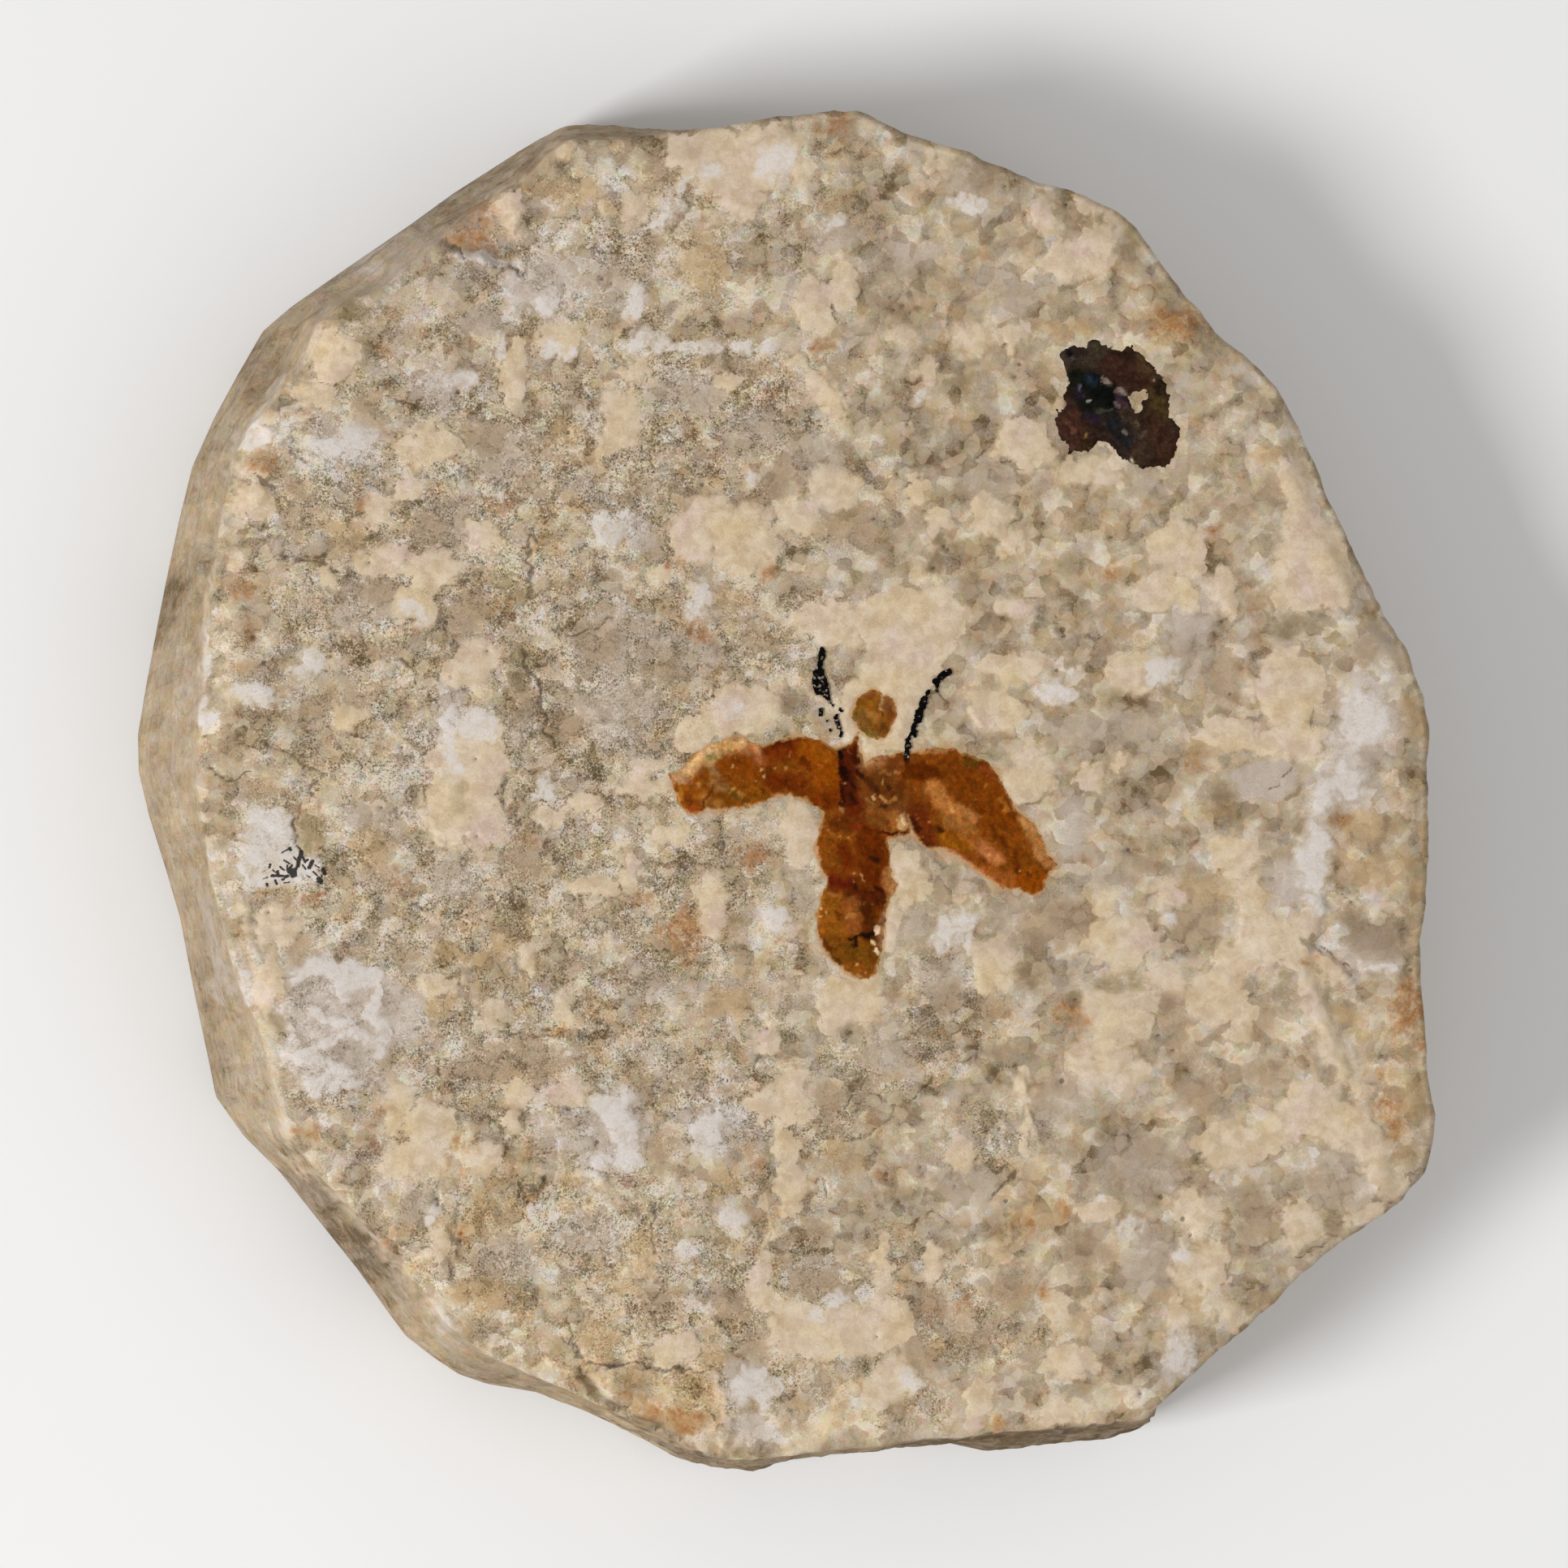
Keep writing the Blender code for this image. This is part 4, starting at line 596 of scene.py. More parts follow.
# Colours of the film that is left of the fly: strokes as tone, points, half width and softness
FLY_PAINT = [
    # left wing, from its root outwards
    ("#7a420c", [(870, 965), (945, 960)], 26, 12), ("#8b4910", [(838, 964), (856, 980), (858, 996)], 14, 8),
    ("#bd8e5c", [(842, 951), (860, 936), (880, 924), (902, 916), (925, 916)], 10, 9),
    ("#cfa577", [(842, 948), (860, 931), (880, 918), (902, 911), (920, 912)], 5, 5),
    ("#d2a676", [(849, 943), (862, 932)], 7, 5), ("#dfc298", [(870, 931), (884, 924)], 3.6, 3.5),
    ("#bb8d56", [(884, 922), (904, 919)], 5, 5), ("#9c8450", [(872, 934), (886, 931)], 4, 4),
    ("#a08056", [(876, 941), (883, 951)], 4.5, 5), ("#783b07", [(894, 945), (938, 947)], 13, 8),
    ("#a06036", [(930, 922), (938, 934)], 8, 6), ("#b98058", [(930, 920), (934, 927)], 3.5, 4),
    ("#6a2b06", [(952, 962), (985, 966)], 11, 8), ("#6d2c05", [(952, 926), (980, 920)], 15, 8),
    ("#4c1b04", [(956, 915), (974, 913)], 5, 5), ("#854205", [(1000, 925), (1024, 958)], 18, 8),
    ("#6d2f04", [(1000, 982), (1028, 984)], 12, 8), ("#93500c", [(1004, 918), (1018, 932)], 5, 6),
    ("#7c460b", [(900, 984), (946, 984)], 9, 6), ("#8c6236", [(878, 964), (893, 970)], 5, 6),
    ("#96642c", [(868, 984), (887, 992)], 5, 6), ("#b98a64", [(830, 958), (845, 961)], 4.5, 4),
    ("#8a3c14", [(852, 998), (863, 1001)], 4, 4), ("#5e300c", [(879, 969), (870, 984), (864, 998)], 1.6, 3.4),
    ("#664414", [(903, 974), (913, 986)], 4, 5), ("#9a7434", [(906, 970), (900, 978)], 1.4, 2.4),
    ("#9a7030", [(911, 975), (914, 981)], 1.2, 2.4), ("#4c2206", [(938, 974), (939, 977)], 1.6, 3),
    ("#4c2206", [(968, 964), (972, 970)], 1.8, 3.4), ("#b88a54", [(903, 945)], 1.6, 2),
    ("#c0905c", [(937, 950)], 1.7, 2), ("#c89a68", [(942, 957)], 1.6, 2), ("#b88a54", [(955, 946)], 1.5, 2),
    ("#a87440", [(975, 926), (975, 934)], 1.1, 2.2), ("#a87440", [(985, 950)], 1.4, 2),
    ("#c89a66", [(998, 948)], 1.6, 2), ("#a87440", [(968, 948)], 1.4, 2), ("#a87440", [(915, 963)], 1.5, 2),
    ("#a87440", [(932, 962)], 1.4, 2), ("#965e28", [(1018, 966)], 1.6, 2.4),
    ("#965e28", [(1012, 940)], 1.5, 2.4), ("#5c2805", [(990, 936), (1000, 950)], 3, 5),
    ("#5c2605", [(1020, 990)], 4, 4), ("#a06c34", [(860, 968)], 2.4, 3),
    ("#6c3408", [(846, 978), (850, 990)], 3, 4), ("#a4641c", [(838, 972), (840, 984)], 3, 4),
    # thorax
    ("#5c2005", [(1052, 926), (1055, 1000)], 15, 7), ("#70401c", [(1080, 960), (1098, 1000)], 24, 10),
    ("#7a4018", [(1090, 938), (1112, 938)], 9, 6), ("#67370f", [(1076, 968), (1098, 974)], 17, 7),
    ("#784619", [(1074, 1004), (1098, 1010)], 11, 7), ("#602c09", [(1032, 1014), (1060, 1016)], 10, 6),
    ("#92633e", [(1064, 941), (1084, 936)], 6, 6), ("#6a2e0c", [(1056, 906), (1045, 918)], 4, 3),
    ("#9a6238", [(1042, 916), (1049, 914)], 3, 3), ("#b08050", [(1066, 944), (1076, 938)], 2.4, 3),
    ("#4a1a06", [(1044, 930), (1047, 985)], 8.5, 7), ("#451405", [(1037, 920), (1038, 996)], 3.6, 3.4),
    ("#140804", [(1036, 914), (1036, 934)], 3.0, 2.4), ("#1e0803", [(1039, 946), (1042, 957)], 4.6, 3.4),
    ("#32100a", [(1046, 960), (1051, 969)], 3.4, 4), ("#3a1606", [(1052, 930), (1058, 938)], 4, 5),
    ("#34120a", [(1058, 950), (1064, 958)], 3, 4), ("#2e1006", [(1050, 982), (1054, 988)], 2.6, 4),
    ("#300f05", [(1037, 972), (1038, 988)], 3.0, 4), ("#a87848", [(1040, 965)], 1.4, 2),
    ("#42200c", [(1070, 964), (1080, 974)], 4.2, 5), ("#42220e", [(1097, 968), (1098, 973)], 2.6, 3),
    ("#8e602f", [(1084, 954), (1090, 950), (1098, 954)], 1.5, 3),
    ("#8a5a2c", [(1068, 984), (1074, 990)], 2.0, 3), ("#c89a6c", [(1076, 979), (1079, 985)], 1.9, 2.2),
    ("#b07f4a", [(1086, 981), (1091, 987)], 2.2, 3), ("#a07c48", [(1088, 961), (1089, 965)], 1.6, 2.2),
    ("#8e5e30", [(1094, 990), (1104, 984)], 1.8, 3), ("#4a2410", [(1084, 992), (1090, 994)], 2.4, 2.4),
    ("#4a2410", [(1100, 980)], 2.6, 3), ("#2a0c06", [(1117, 916), (1117, 945)], 2.9, 2.4),
    ("#4a1c0a", [(1117, 943), (1115, 956)], 2.0, 3), ("#b08050", [(1103, 951), (1108, 953)], 1.5, 2.2),
    ("#a07040", [(1036, 996), (1040, 1000)], 1.5, 2.4), ("#8a5324", [(1103, 1002), (1103, 1018)], 5, 3),
    ("#c49a68", [(1112, 1005), (1113, 1018)], 4.6, 2.6), ("#e2c094", [(1113, 1009), (1113, 1015)], 2.2, 2.4),
    ("#7a3010", [(1050, 1018), (1060, 1020)], 4.5, 4),
    ("#34140a", [(1084, 1025), (1104, 1027), (1121, 1028)], 1.9, 2),
    ("#3c1a06", [(1064, 1024), (1082, 1025)], 2.6, 2.4), ("#a87840", [(1023, 1030)], 1.4, 2),
    ("#a87840", [(1036, 1033)], 1.5, 2), ("#a07038", [(1040, 1038)], 1.4, 2),
    ("#a87840", [(1047, 1032)], 1.5, 2), ("#9a6a38", [(1055, 1034)], 1.4, 2),
    ("#a0703c", [(1022, 1021), (1024, 1027)], 1.2, 2.2),
    # abdomen, from the waist down
    ("#602803", [(1072, 1038), (1078, 1078)], 18, 7), ("#7a400c", [(1018, 1038), (1022, 1062)], 14, 7),
    ("#6a2a06", [(1040, 1044), (1046, 1066)], 9, 7), ("#5c1c08", [(1026, 1086), (1050, 1090)], 9, 9),
    ("#4a1c05", [(1054, 1104), (1088, 1108)], 11, 6), ("#874f12", [(1016, 1112), (1026, 1148)], 15, 7),
    ("#874c1f", [(1050, 1114), (1052, 1142)], 10, 6), ("#4e2205", [(1070, 1118), (1071, 1152)], 9, 5),
    ("#6c420d", [(1046, 1169), (1072, 1176)], 13, 6), ("#6a3e0c", [(1024, 1164), (1036, 1182)], 12, 6),
    ("#4a2808", [(1015, 1158), (1026, 1178), (1040, 1191)], 3, 4),
    ("#7f4911", [(1050, 1193), (1068, 1199)], 9, 5), ("#9d6535", [(1096, 1078), (1101, 1104)], 9, 5),
    ("#b88050", [(1100, 1088), (1100, 1098)], 3.6, 3), ("#b88a68", [(1006, 1046), (1008, 1062)], 3.2, 3),
    ("#8a6048", [(1087, 1128), (1086, 1166)], 3.2, 4),
    ("#1c0e06", [(1046, 1158), (1055, 1153), (1068, 1153), (1078, 1150)], 2.6, 3.4),
    ("#2a1408", [(1052, 1158), (1054, 1165)], 3, 3), ("#32140a", [(1051, 1092), (1055, 1096)], 2.4, 3.4),
    ("#b07c4c", [(1050, 1077)], 1.4, 2), ("#b88454", [(1061, 1079), (1065, 1083)], 1.5, 2.2),
    ("#a87444", [(1053, 1087)], 1.4, 2), ("#c0905c", [(1013, 1119), (1014, 1122)], 1.8, 2),
    ("#c0905c", [(1019, 1126)], 1.8, 2), ("#b8844c", [(1010, 1130)], 1.6, 2),
    ("#e4c4a8", [(1080, 1142), (1083, 1149)], 2.6, 2), ("#dcb890", [(1075, 1161), (1077, 1164)], 2.6, 2),
    ("#f0dab4", [(1079, 1171), (1082, 1173)], 2.6, 2), ("#c8965c", [(1055, 1188)], 2.0, 2),
    ("#c8965c", [(1065, 1197)], 2.0, 2), ("#4a2408", [(1006, 1142), (1009, 1156)], 2.0, 3),
    ("#5c3008", [(1030, 1120), (1034, 1132)], 2.4, 4), ("#a0642c", [(1022, 1100), (1034, 1104)], 3, 4),
    ("#3c1404", [(1078, 1092), (1086, 1098)], 3, 4), ("#a87038", [(1044, 1130), (1052, 1128)], 2.6, 3),
    ("#34160a", [(1074, 1056), (1080, 1060)], 3, 4),
    # right wing, from its root outwards
    ("#783c0a", [(1150, 944), (1186, 950)], 18, 9), ("#5a2603", [(1124, 950), (1150, 956)], 12, 7),
    ("#753906", [(1196, 968), (1236, 1006)], 24, 9), ("#7a3f09", [(1238, 1040), (1258, 1066)], 16, 8),
    ("#632a0b", [(1130, 1000), (1142, 1034)], 14, 8), ("#a66932", [(1150, 972), (1168, 996)], 11, 6),
    ("#ad7236", [(1168, 996), (1180, 1004)], 7, 5), ("#a86d39", [(1184, 998), (1199, 1008)], 6, 5),
    ("#94602c", [(1170, 1012), (1196, 1021)], 8, 6), ("#9a5b24", [(1192, 1031), (1210, 1044)], 9, 6),
    ("#b16d3e", [(1210, 1046), (1228, 1058)], 8, 5), ("#8b500a", [(1162, 1032), (1186, 1041)], 8, 6),
    ("#95511e", [(1210, 1075), (1246, 1085)], 10, 6), ("#864104", [(1262, 1082), (1282, 1091)], 12, 7),
    ("#b47e49", [(1263, 1010), (1277, 1030), (1284, 1054)], 7.5, 5),
    ("#a77138", [(1274, 1027), (1281, 1046)], 4, 4), ("#9c6538", [(1288, 1062), (1301, 1067)], 5, 4),
    ("#a0683c", [(1134, 926), (1162, 925)], 3, 3.5), ("#5c3c0c", [(1192, 936), (1205, 944)], 6, 5),
    ("#7a3410", [(1209, 945), (1220, 954)], 5, 5), ("#3e1606", [(1124, 1009), (1131, 1021)], 4.4, 4),
    ("#4a1c06", [(1131, 1033), (1145, 1042)], 3.6, 4),
    ("#a45c3c", [(1172, 1050), (1204, 1070), (1216, 1083), (1240, 1095)], 2.8, 3.5),
    ("#5c2a06", [(1252, 1050), (1255, 1074)], 3.4, 6), ("#b88450", [(1258, 1072)], 1.4, 2),
    ("#562806", [(1266, 1075), (1268, 1080)], 2.0, 4), ("#5e3006", [(1192, 962), (1204, 969)], 2.4, 6),
    ("#5c2e06", [(1176, 952), (1181, 958)], 2.2, 6), ("#5a2a04", [(1208, 994), (1212, 1000)], 2.4, 6),
    ("#5c2c04", [(1221, 1016), (1225, 1022)], 2.2, 6), ("#9a6020", [(1232, 985), (1240, 998)], 3, 4),
    ("#b07c3e", [(1156, 980)], 3, 3), ("#c49058", [(1172, 999)], 2.6, 3), ("#9c6020", [(1216, 968)], 2.4, 3),
    ("#5c2a06", [(1228, 1030), (1240, 1040)], 4, 5), ("#c8905c", [(1220, 1053)], 2.6, 3),
    ("#a86c30", [(1146, 1012)], 2, 3), ("#4a2006", [(1156, 1020), (1162, 1024)], 3, 4),
    ("#6c3408", [(1182, 984), (1190, 990)], 3, 4),
]
HEAD_PAINT = [
    ("#7f4e14", [(1070, 866), (1080, 874)], 14, 10), ("#745222", [(1056, 884), (1070, 893)], 9, 8),
    ("#704214", [(1078, 898), (1092, 900)], 9, 8), ("#8c5834", [(1091, 862), (1098, 872)], 6, 6),
    ("#744014", [(1098, 876), (1100, 890)], 5, 5), ("#6c5626", [(1069, 903), (1078, 905)], 5, 5),
    ("#b88c5c", [(1087, 857), (1086, 868), (1086, 875)], 1.4, 2.2),
    ("#4c2c10", [(1085, 876), (1088, 883)], 1.4, 2.2), ("#9c6830", [(1072, 880), (1080, 884)], 4, 6),
    ("#6a4416", [(1056, 868), (1053, 878)], 3, 4), ("#8a5020", [(1064, 858), (1078, 854)], 3, 4),
    ("#5c3814", [(1088, 892)], 3, 4),
]
FLAKE_PAINT = [
    ("#3a2e28", [(1316, 436), (1326, 458)], 12, 8), ("#0c0c10", [(1318, 433), (1322, 440)], 5, 5),
    ("#14160f", [(1328, 465), (1345, 500)], 16, 10), ("#0b0e0c", [(1352, 470), (1368, 494)], 16, 9),
    ("#3c3428", [(1344, 426), (1366, 434)], 9, 6), ("#382e26", [(1338, 444), (1362, 452)], 9, 7),
    ("#36221a", [(1372, 450), (1402, 470)], 17, 9), ("#2a1a14", [(1388, 435)], 7, 5),
    ("#463423", [(1406, 444), (1420, 462)], 9, 7), ("#46371f", [(1424, 486), (1432, 512)], 11, 8),
    ("#241812", [(1426, 477), (1429, 484)], 6, 5), ("#3a261c", [(1420, 528), (1440, 562)], 17, 9),
    ("#3a2820", [(1444, 524), (1448, 532)], 6, 5), ("#3a2c22", [(1390, 520), (1402, 560)], 14, 9),
    ("#1c1c20", [(1372, 520), (1390, 545)], 10, 8), ("#3c261e", [(1314, 512), (1330, 552)], 15, 8),
    ("#30240e", [(1338, 548), (1342, 553)], 5, 5), ("#241a28", [(1329, 480), (1332, 488)], 5, 5),
    ("#1a2230", [(1341, 466), (1347, 470)], 5, 5), ("#261a2a", [(1340, 511), (1350, 516)], 5, 5),
    ("#34382e", [(1350, 506), (1368, 505)], 1.6, 3), ("#6a4038", [(1320, 527), (1324, 533)], 2.6, 3),
    ("#5a3830", [(1317, 522), (1318, 526)], 2, 3), ("#7a6040", [(1339, 536), (1339, 540)], 2, 2.4),
    ("#7a6c64", [(1359, 468), (1365, 472)], 2.8, 2.4), ("#6c605c", [(1378, 482), (1387, 484)], 3.4, 2.6),
    ("#3c2c34", [(1378, 490), (1386, 500)], 4.5, 4), ("#6c5c5c", [(1374, 496), (1376, 499)], 2.4, 2.4),
    ("#a4aaa4", [(1341, 494)], 1.6, 2), ("#5c5c64", [(1331, 477)], 2, 2.4),
    ("#6e6860", [(1384, 530), (1387, 534)], 2.8, 2.6), ("#4a423e", [(1408, 534)], 3, 3),
    ("#a89c88", [(1395, 566), (1397, 569)], 2.4, 2.6), ("#8a7a70", [(1421, 469)], 2.2, 2.4),
    ("#3c3c3c", [(1322, 443)], 1.6, 2), ("#5a4a3a", [(1398, 519), (1403, 524)], 2, 3),
    ("#3a2418", [(1402, 486), (1418, 494)], 2, 4),
]

# Where the brown of the fly has soaked into the stone beside it: middle, half width, half height, strength
STAINS = [
    (1172, 1054, 26, 9, 0.7), (1068, 934, 10, 8, 0.6), (880, 1000, 24, 5, 0.6), (1000, 1030, 7, 14, 0.4),
    (1092, 1120, 6, 14, 0.5), (1088, 1150, 5, 22, 0.4), (1296, 1080, 8, 12, 0.4), (1225, 1096, 20, 6, 0.5),
    (1084, 919, 24, 8, 0.35), (1122, 1034, 7, 8, 0.5), (930, 1000, 26, 5, 0.3), (1050, 1212, 16, 4, 0.4),
    (1246, 972, 6, 14, 0.4),
]
FILM_EDGE = 3.0                 # pixels over which a film fades at its border
STONE_BESIDE_FILM = "#b78a58"

QUIET_MIDDLE = (1060, 1000)     # middle of the quiet patch of stone that holds the fly
QUIET_RADIUS = 0.009
EDGE_SPAN = 24                  # pixels over which a patch's field changes by one
GRID_CELLS = 200                # cells along each side of the upper face's grid
WALL_RINGS = 22
RIM_SAMPLES = 2880
RIM_STRIP = 0.0003              # strip along the rim that the grid isn't divided in
WORN_STRIP = 0.0013             # strip along the rim that is worn down
SKIN_RISE = 0.00006             # how far the cream skin stands up
HOLLOW_DEPTH = 0.00005
CRACK_DEPTH = 0.00008
PIT_DEPTH = 0.00012
BROKEN_EDGE_RISE = 0.00006
FILM_BORDER = 0.00001           # how far a film stands up at its border
FILM_SUNK = 0.00012             # how far a film reaches down into the stone
FILM_MARGIN = 26                # pixels of grid beyond the solid of a film
FLY_CELL = 0.000045
ANTENNA_CELL = 0.00004
ANTENNA_RISE = 0.00007
FLAKE_CELL = 0.00006
TURN = 2 * math.pi


def place(point, height):
    """Where a picture point lies on the level plane at a height."""
    seen = (AIM + PICTURE_RIGHT * (point[0] - PICTURE_MIDDLE) * PIXEL
            - PICTURE_UP * (point[1] - PICTURE_MIDDLE) * PIXEL)
    ray = seen - EYE
    return EYE + ray * ((height - EYE.z) / ray.z)


def on_picture(x, y, z):
    """The picture points at which places of the stone are seen, as two arrays."""
    away = np.stack([x - EYE.x, y - EYE.y, z + 0 * x - EYE.z])
    depth = -np.tensordot(np.array(TOWARDS_EYE), away, 1)
    across = np.tensordot(np.array(PICTURE_RIGHT), away, 1) * EYE_DISTANCE / depth
    up = np.tensordot(np.array(PICTURE_UP), away, 1) * EYE_DISTANCE / depth
    return PICTURE_MIDDLE + across / PIXEL, PICTURE_MIDDLE - up / PIXEL


def ease(value):
    """A smooth step from 0 to 1."""
    value = np.clip(value, 0, 1)
    return value * value * (3 - 2 * value)


def lumps(x, y, height, closeness, layer):
    """Smooth lumps over the plane, different in each layer."""
    layers = np.broadcast_to(layer, np.shape(x))
    spots = zip(x, y, layers)
    return height * np.array([noise.noise((a * closeness, b * closeness, c)) for a, b, c in spots])


def path_distance(px, py, path):
    """Distance in pixels to an open path."""
    nearest = np.full(px.shape, 1e4)
    if len(path) == 1:
        return np.hypot(px - path[0][0], py - path[0][1])
    for (x1, y1), (x2, y2) in zip(path[:-1], path[1:]):
        long2 = (x2 - x1) ** 2 + (y2 - y1) ** 2
        along = np.clip(((px - x1) * (x2 - x1) + (py - y1) * (y2 - y1)) / long2, 0, 1)
        nearest = np.minimum(nearest, np.hypot(px - x1 - along * (x2 - x1), py - y1 - along * (y2 - y1)))
    return nearest


def inside_distance(px, py, outline):
    """How many pixels inside a closed outline each point lies: negative when it is outside."""
    inside = np.zeros(px.shape, bool)
    for (x1, y1), (x2, y2) in zip(outline, outline[1:] + outline[:1]):
        if y1 != y2:
            spans = (y1 > py) != (y2 > py)
            inside ^= spans & (px < (x2 - x1) * (py - y1) / (y2 - y1) + x1)
    nearest = path_distance(px, py, outline + outline[:1])
    return np.where(inside, nearest, -nearest)


def patch_field(px, py, name):
    """How far inside the nearest patch of one colour each spot lies: 0.5 on the patch's edge."""
    field = np.full(px.shape, -1.0)
    for outline in SHAPED_PATCHES.get(name, []):
        field = np.maximum(field, 0.5 + inside_distance(px, py, outline) / EDGE_SPAN)
    for x, y, half_width, half_height, *turned in PATCHES[name]:
        turn = math.radians(turned[0]) if turned else 0
        across = (px - x) * math.cos(turn) + (py - y) * math.sin(turn)
        along = (py - y) * math.cos(turn) - (px - x) * math.sin(turn)
        reach = np.maximum(np.hypot(across / half_width, along / half_height), 1e-4)
        field = np.maximum(field, 0.5 + np.hypot(across, along) * (1 / reach - 1) / EDGE_SPAN)
    return field


def stain_strength(px, py):
    """How far the fly's brown has soaked into each spot of the stone, from 0 to 1."""
    wx = px + lumps(px, py, 4.0, 0.07, 31.3) + lumps(px, py, 1.6, 0.25, 32.3)
    wy = py + lumps(px, py, 4.0, 0.07, 33.3) + lumps(px, py, 1.6, 0.25, 34.3)
    strength = np.zeros(px.shape)
    for outline in (LEFT_WING, RIGHT_WING, BODY, HEAD):
        strength = np.maximum(strength, ease(1 + inside_distance(wx, wy, outline) / 5))
    for x, y, half_width, half_height, amount in STAINS:
        strength = np.maximum(strength, amount * soft_spread(wx, wy, [(x, y, half_width, half_height)]))
    return strength


def soft_spread(px, py, areas):
    """1 in the middle of each area, fading to 0 well outside it."""
    spread = np.zeros(px.shape)
    for x, y, half_width, half_height in areas:
        spread = np.maximum(spread, ease(1.5 - np.hypot((px - x) / half_width, (py - y) / half_height)))
    return spread


def wandered(px, py):
    """Picture points moved a little this way and that, so that patches get uneven edges."""
    x, y = px / 34, py / 34
    return (px + lumps(x, y, 12, 1, 3.1) + lumps(x, y, 7, 2.6, 5.1),
            py + lumps(x, y, 12, 1, 4.3) + lumps(x, y, 7, 2.6, 6.3))


def wavered(px, py):
    """Picture points shaken a little, so that thin lines run unevenly."""
    return (px + lumps(px, py, 9, 0.055, 7.1) + lumps(px, py, 4, 0.17, 8.3),
            py + lumps(px, py, 9, 0.055, 9.7) + lumps(px, py, 4, 0.17, 11.9))


def radius_towards(corners, angle):
    """Distance from the origin to a closed outline in one direction."""
    way = Vector((math.cos(angle), math.sin(angle)))
    reach = 0
    for start, end in zip(corners, corners[1:] + corners[:1]):
        side = (end - start).xy
        slope = way.cross(side)
        if abs(slope) > 1e-12:
            along = start.xy.cross(way) / slope
            distance = start.xy.cross(side) / slope
            if 0 <= along <= 1 and distance > 0:
                reach = max(reach, distance)
    return reach


def around(angle, height, turns, layer):
    """Smooth lumps around the wall, different in each layer."""
    return height * noise.noise((math.cos(angle) * turns, math.sin(angle) * turns, layer))


def hidden_foot():
    """Foot of the wall on the hidden side: under the rim at both ends, drawn in between them."""
    corners = [place(point, SLAB_THICKNESS) for point in RIM_RIGHT][3:]
    last = len(corners) - 1
    return [corner * (1 - UNDERCUT * float(ease(min(number, last - number) / UNDERCUT_EASE)))
            for number, corner in enumerate(corners)]


ANGLES = np.linspace(0, TURN, RIM_SAMPLES + 1)
RIM_CORNERS = [place(point, SLAB_THICKNESS) for point in RIM_RIGHT + RIM_LEFT]
FOOT_CORNERS = hidden_foot() + [place(point, FOOT_HEIGHT) for point in FOOT_LEFT]
RIM_REACH = np.array([radius_towards(RIM_CORNERS, a) + around(a, 0.00011, 17, 0.4)
                      + around(a, 0.00006, 60, 1.4) for a in ANGLES])
FOOT_REACH = np.array([radius_towards(FOOT_CORNERS, a) for a in ANGLES])


def reach_at(angle, reaches):
    return np.interp(np.mod(angle, TURN), ANGLES, reaches)


def calm(px, py):
    """0 where a film lies in the stone, rising to 1 away from it."""
    nearest = np.full(px.shape, -1e3)
    for outline in (LEFT_WING, RIGHT_WING, BODY, HEAD, FLAKE):
        nearest = np.maximum(nearest, inside_distance(px, py, outline))
    for path, width in LEFT_ANTENNA + RIGHT_ANTENNA:
        nearest = np.maximum(nearest, width - path_distance(px, py, path))
    return ease(-nearest / 12)


def stone_height(x, y):
    """Height of the upper face: swells, lost layers, a worn rim, raised cream skin, cracks and grain."""
    px, py = on_picture(x, y, SLAB_THICKNESS)
    quiet = place(QUIET_MIDDLE, SLAB_THICKNESS)
    lively = ease(np.hypot(x - quiet.x, y - quiet.y) / QUIET_RADIUS - 1)
    swells = (lumps(x, y, 0.00022, 90, 0.1) + lumps(x, y, 0.00013, 330, 1.3)) * lively
    wx, wy = wandered(px, py)
    lost = sum(depth * ease(inside_distance(wx, wy, outline) / width + 0.5)
               for outline, depth, width in LOST_LAYERS)
    rim = reach_at(np.arctan2(y, x), RIM_REACH) - np.hypot(x, y)
    worn = (0.00038 + lumps(x, y, 0.0003, 260, 2.6)) * ease(1 - rim / WORN_STRIP)
    cream, white, brown, dim = [patch_field(wx, wy, name) for name in ("cream", "white", "brown", "dim")]
    skin = SKIN_RISE * ease((np.maximum(cream, white) - 0.5) * 4 + 0.5)
    hollow = HOLLOW_DEPTH * ease((np.maximum(brown, dim) - 0.5) * 3 + 0.5)
    grain = lumps(x, y, 0.00003, 850, 3.7) + lumps(x, y, 0.000025, 1900, 4.9)
    split = np.zeros(px.shape)
    sx, sy = wavered(px, py)
    for path, width, depth in CRACKS:
        split += CRACK_DEPTH * depth * np.exp(-(path_distance(sx, sy, path) / (width * 1.3)) ** 2)
    for x0, y0, radius in PITS:
        split += PIT_DEPTH * np.exp(-((px - x0) ** 2 + (py - y0) ** 2) / (radius * 1.3) ** 2)
    for path, width, height in BROKEN_EDGES:
        split -= BROKEN_EDGE_RISE * height * np.exp(-(path_distance(sx, sy, path) / (width * 1.5)) ** 2)
    return SLAB_THICKNESS + swells - lost - worn + calm(px, py) * (skin - hollow + grain - split)


def disc_place(across, along):
    """Polar place in the unit disc of a spot in the square from -1 to 1."""
    reach = max(abs(across), abs(along))
    if reach == 0:
        return 0, 0
    if abs(across) >= abs(along):
        return reach, math.pi / 4 * along / across + (math.pi if across < 0 else 0)
    return reach, math.pi / 2 - math.pi / 4 * across / along + (math.pi if along < 0 else 0)


def spread_over_rim(mesh):
    """Spread the square grid over the outline of the rim."""
    for vert in mesh.verts:
        reach, angle = disc_place(vert.co.x, vert.co.y)
        radius = reach * float(reach_at(angle, RIM_REACH))
        vert.co = (math.cos(angle) * radius, math.sin(angle) * radius, SLAB_THICKNESS)


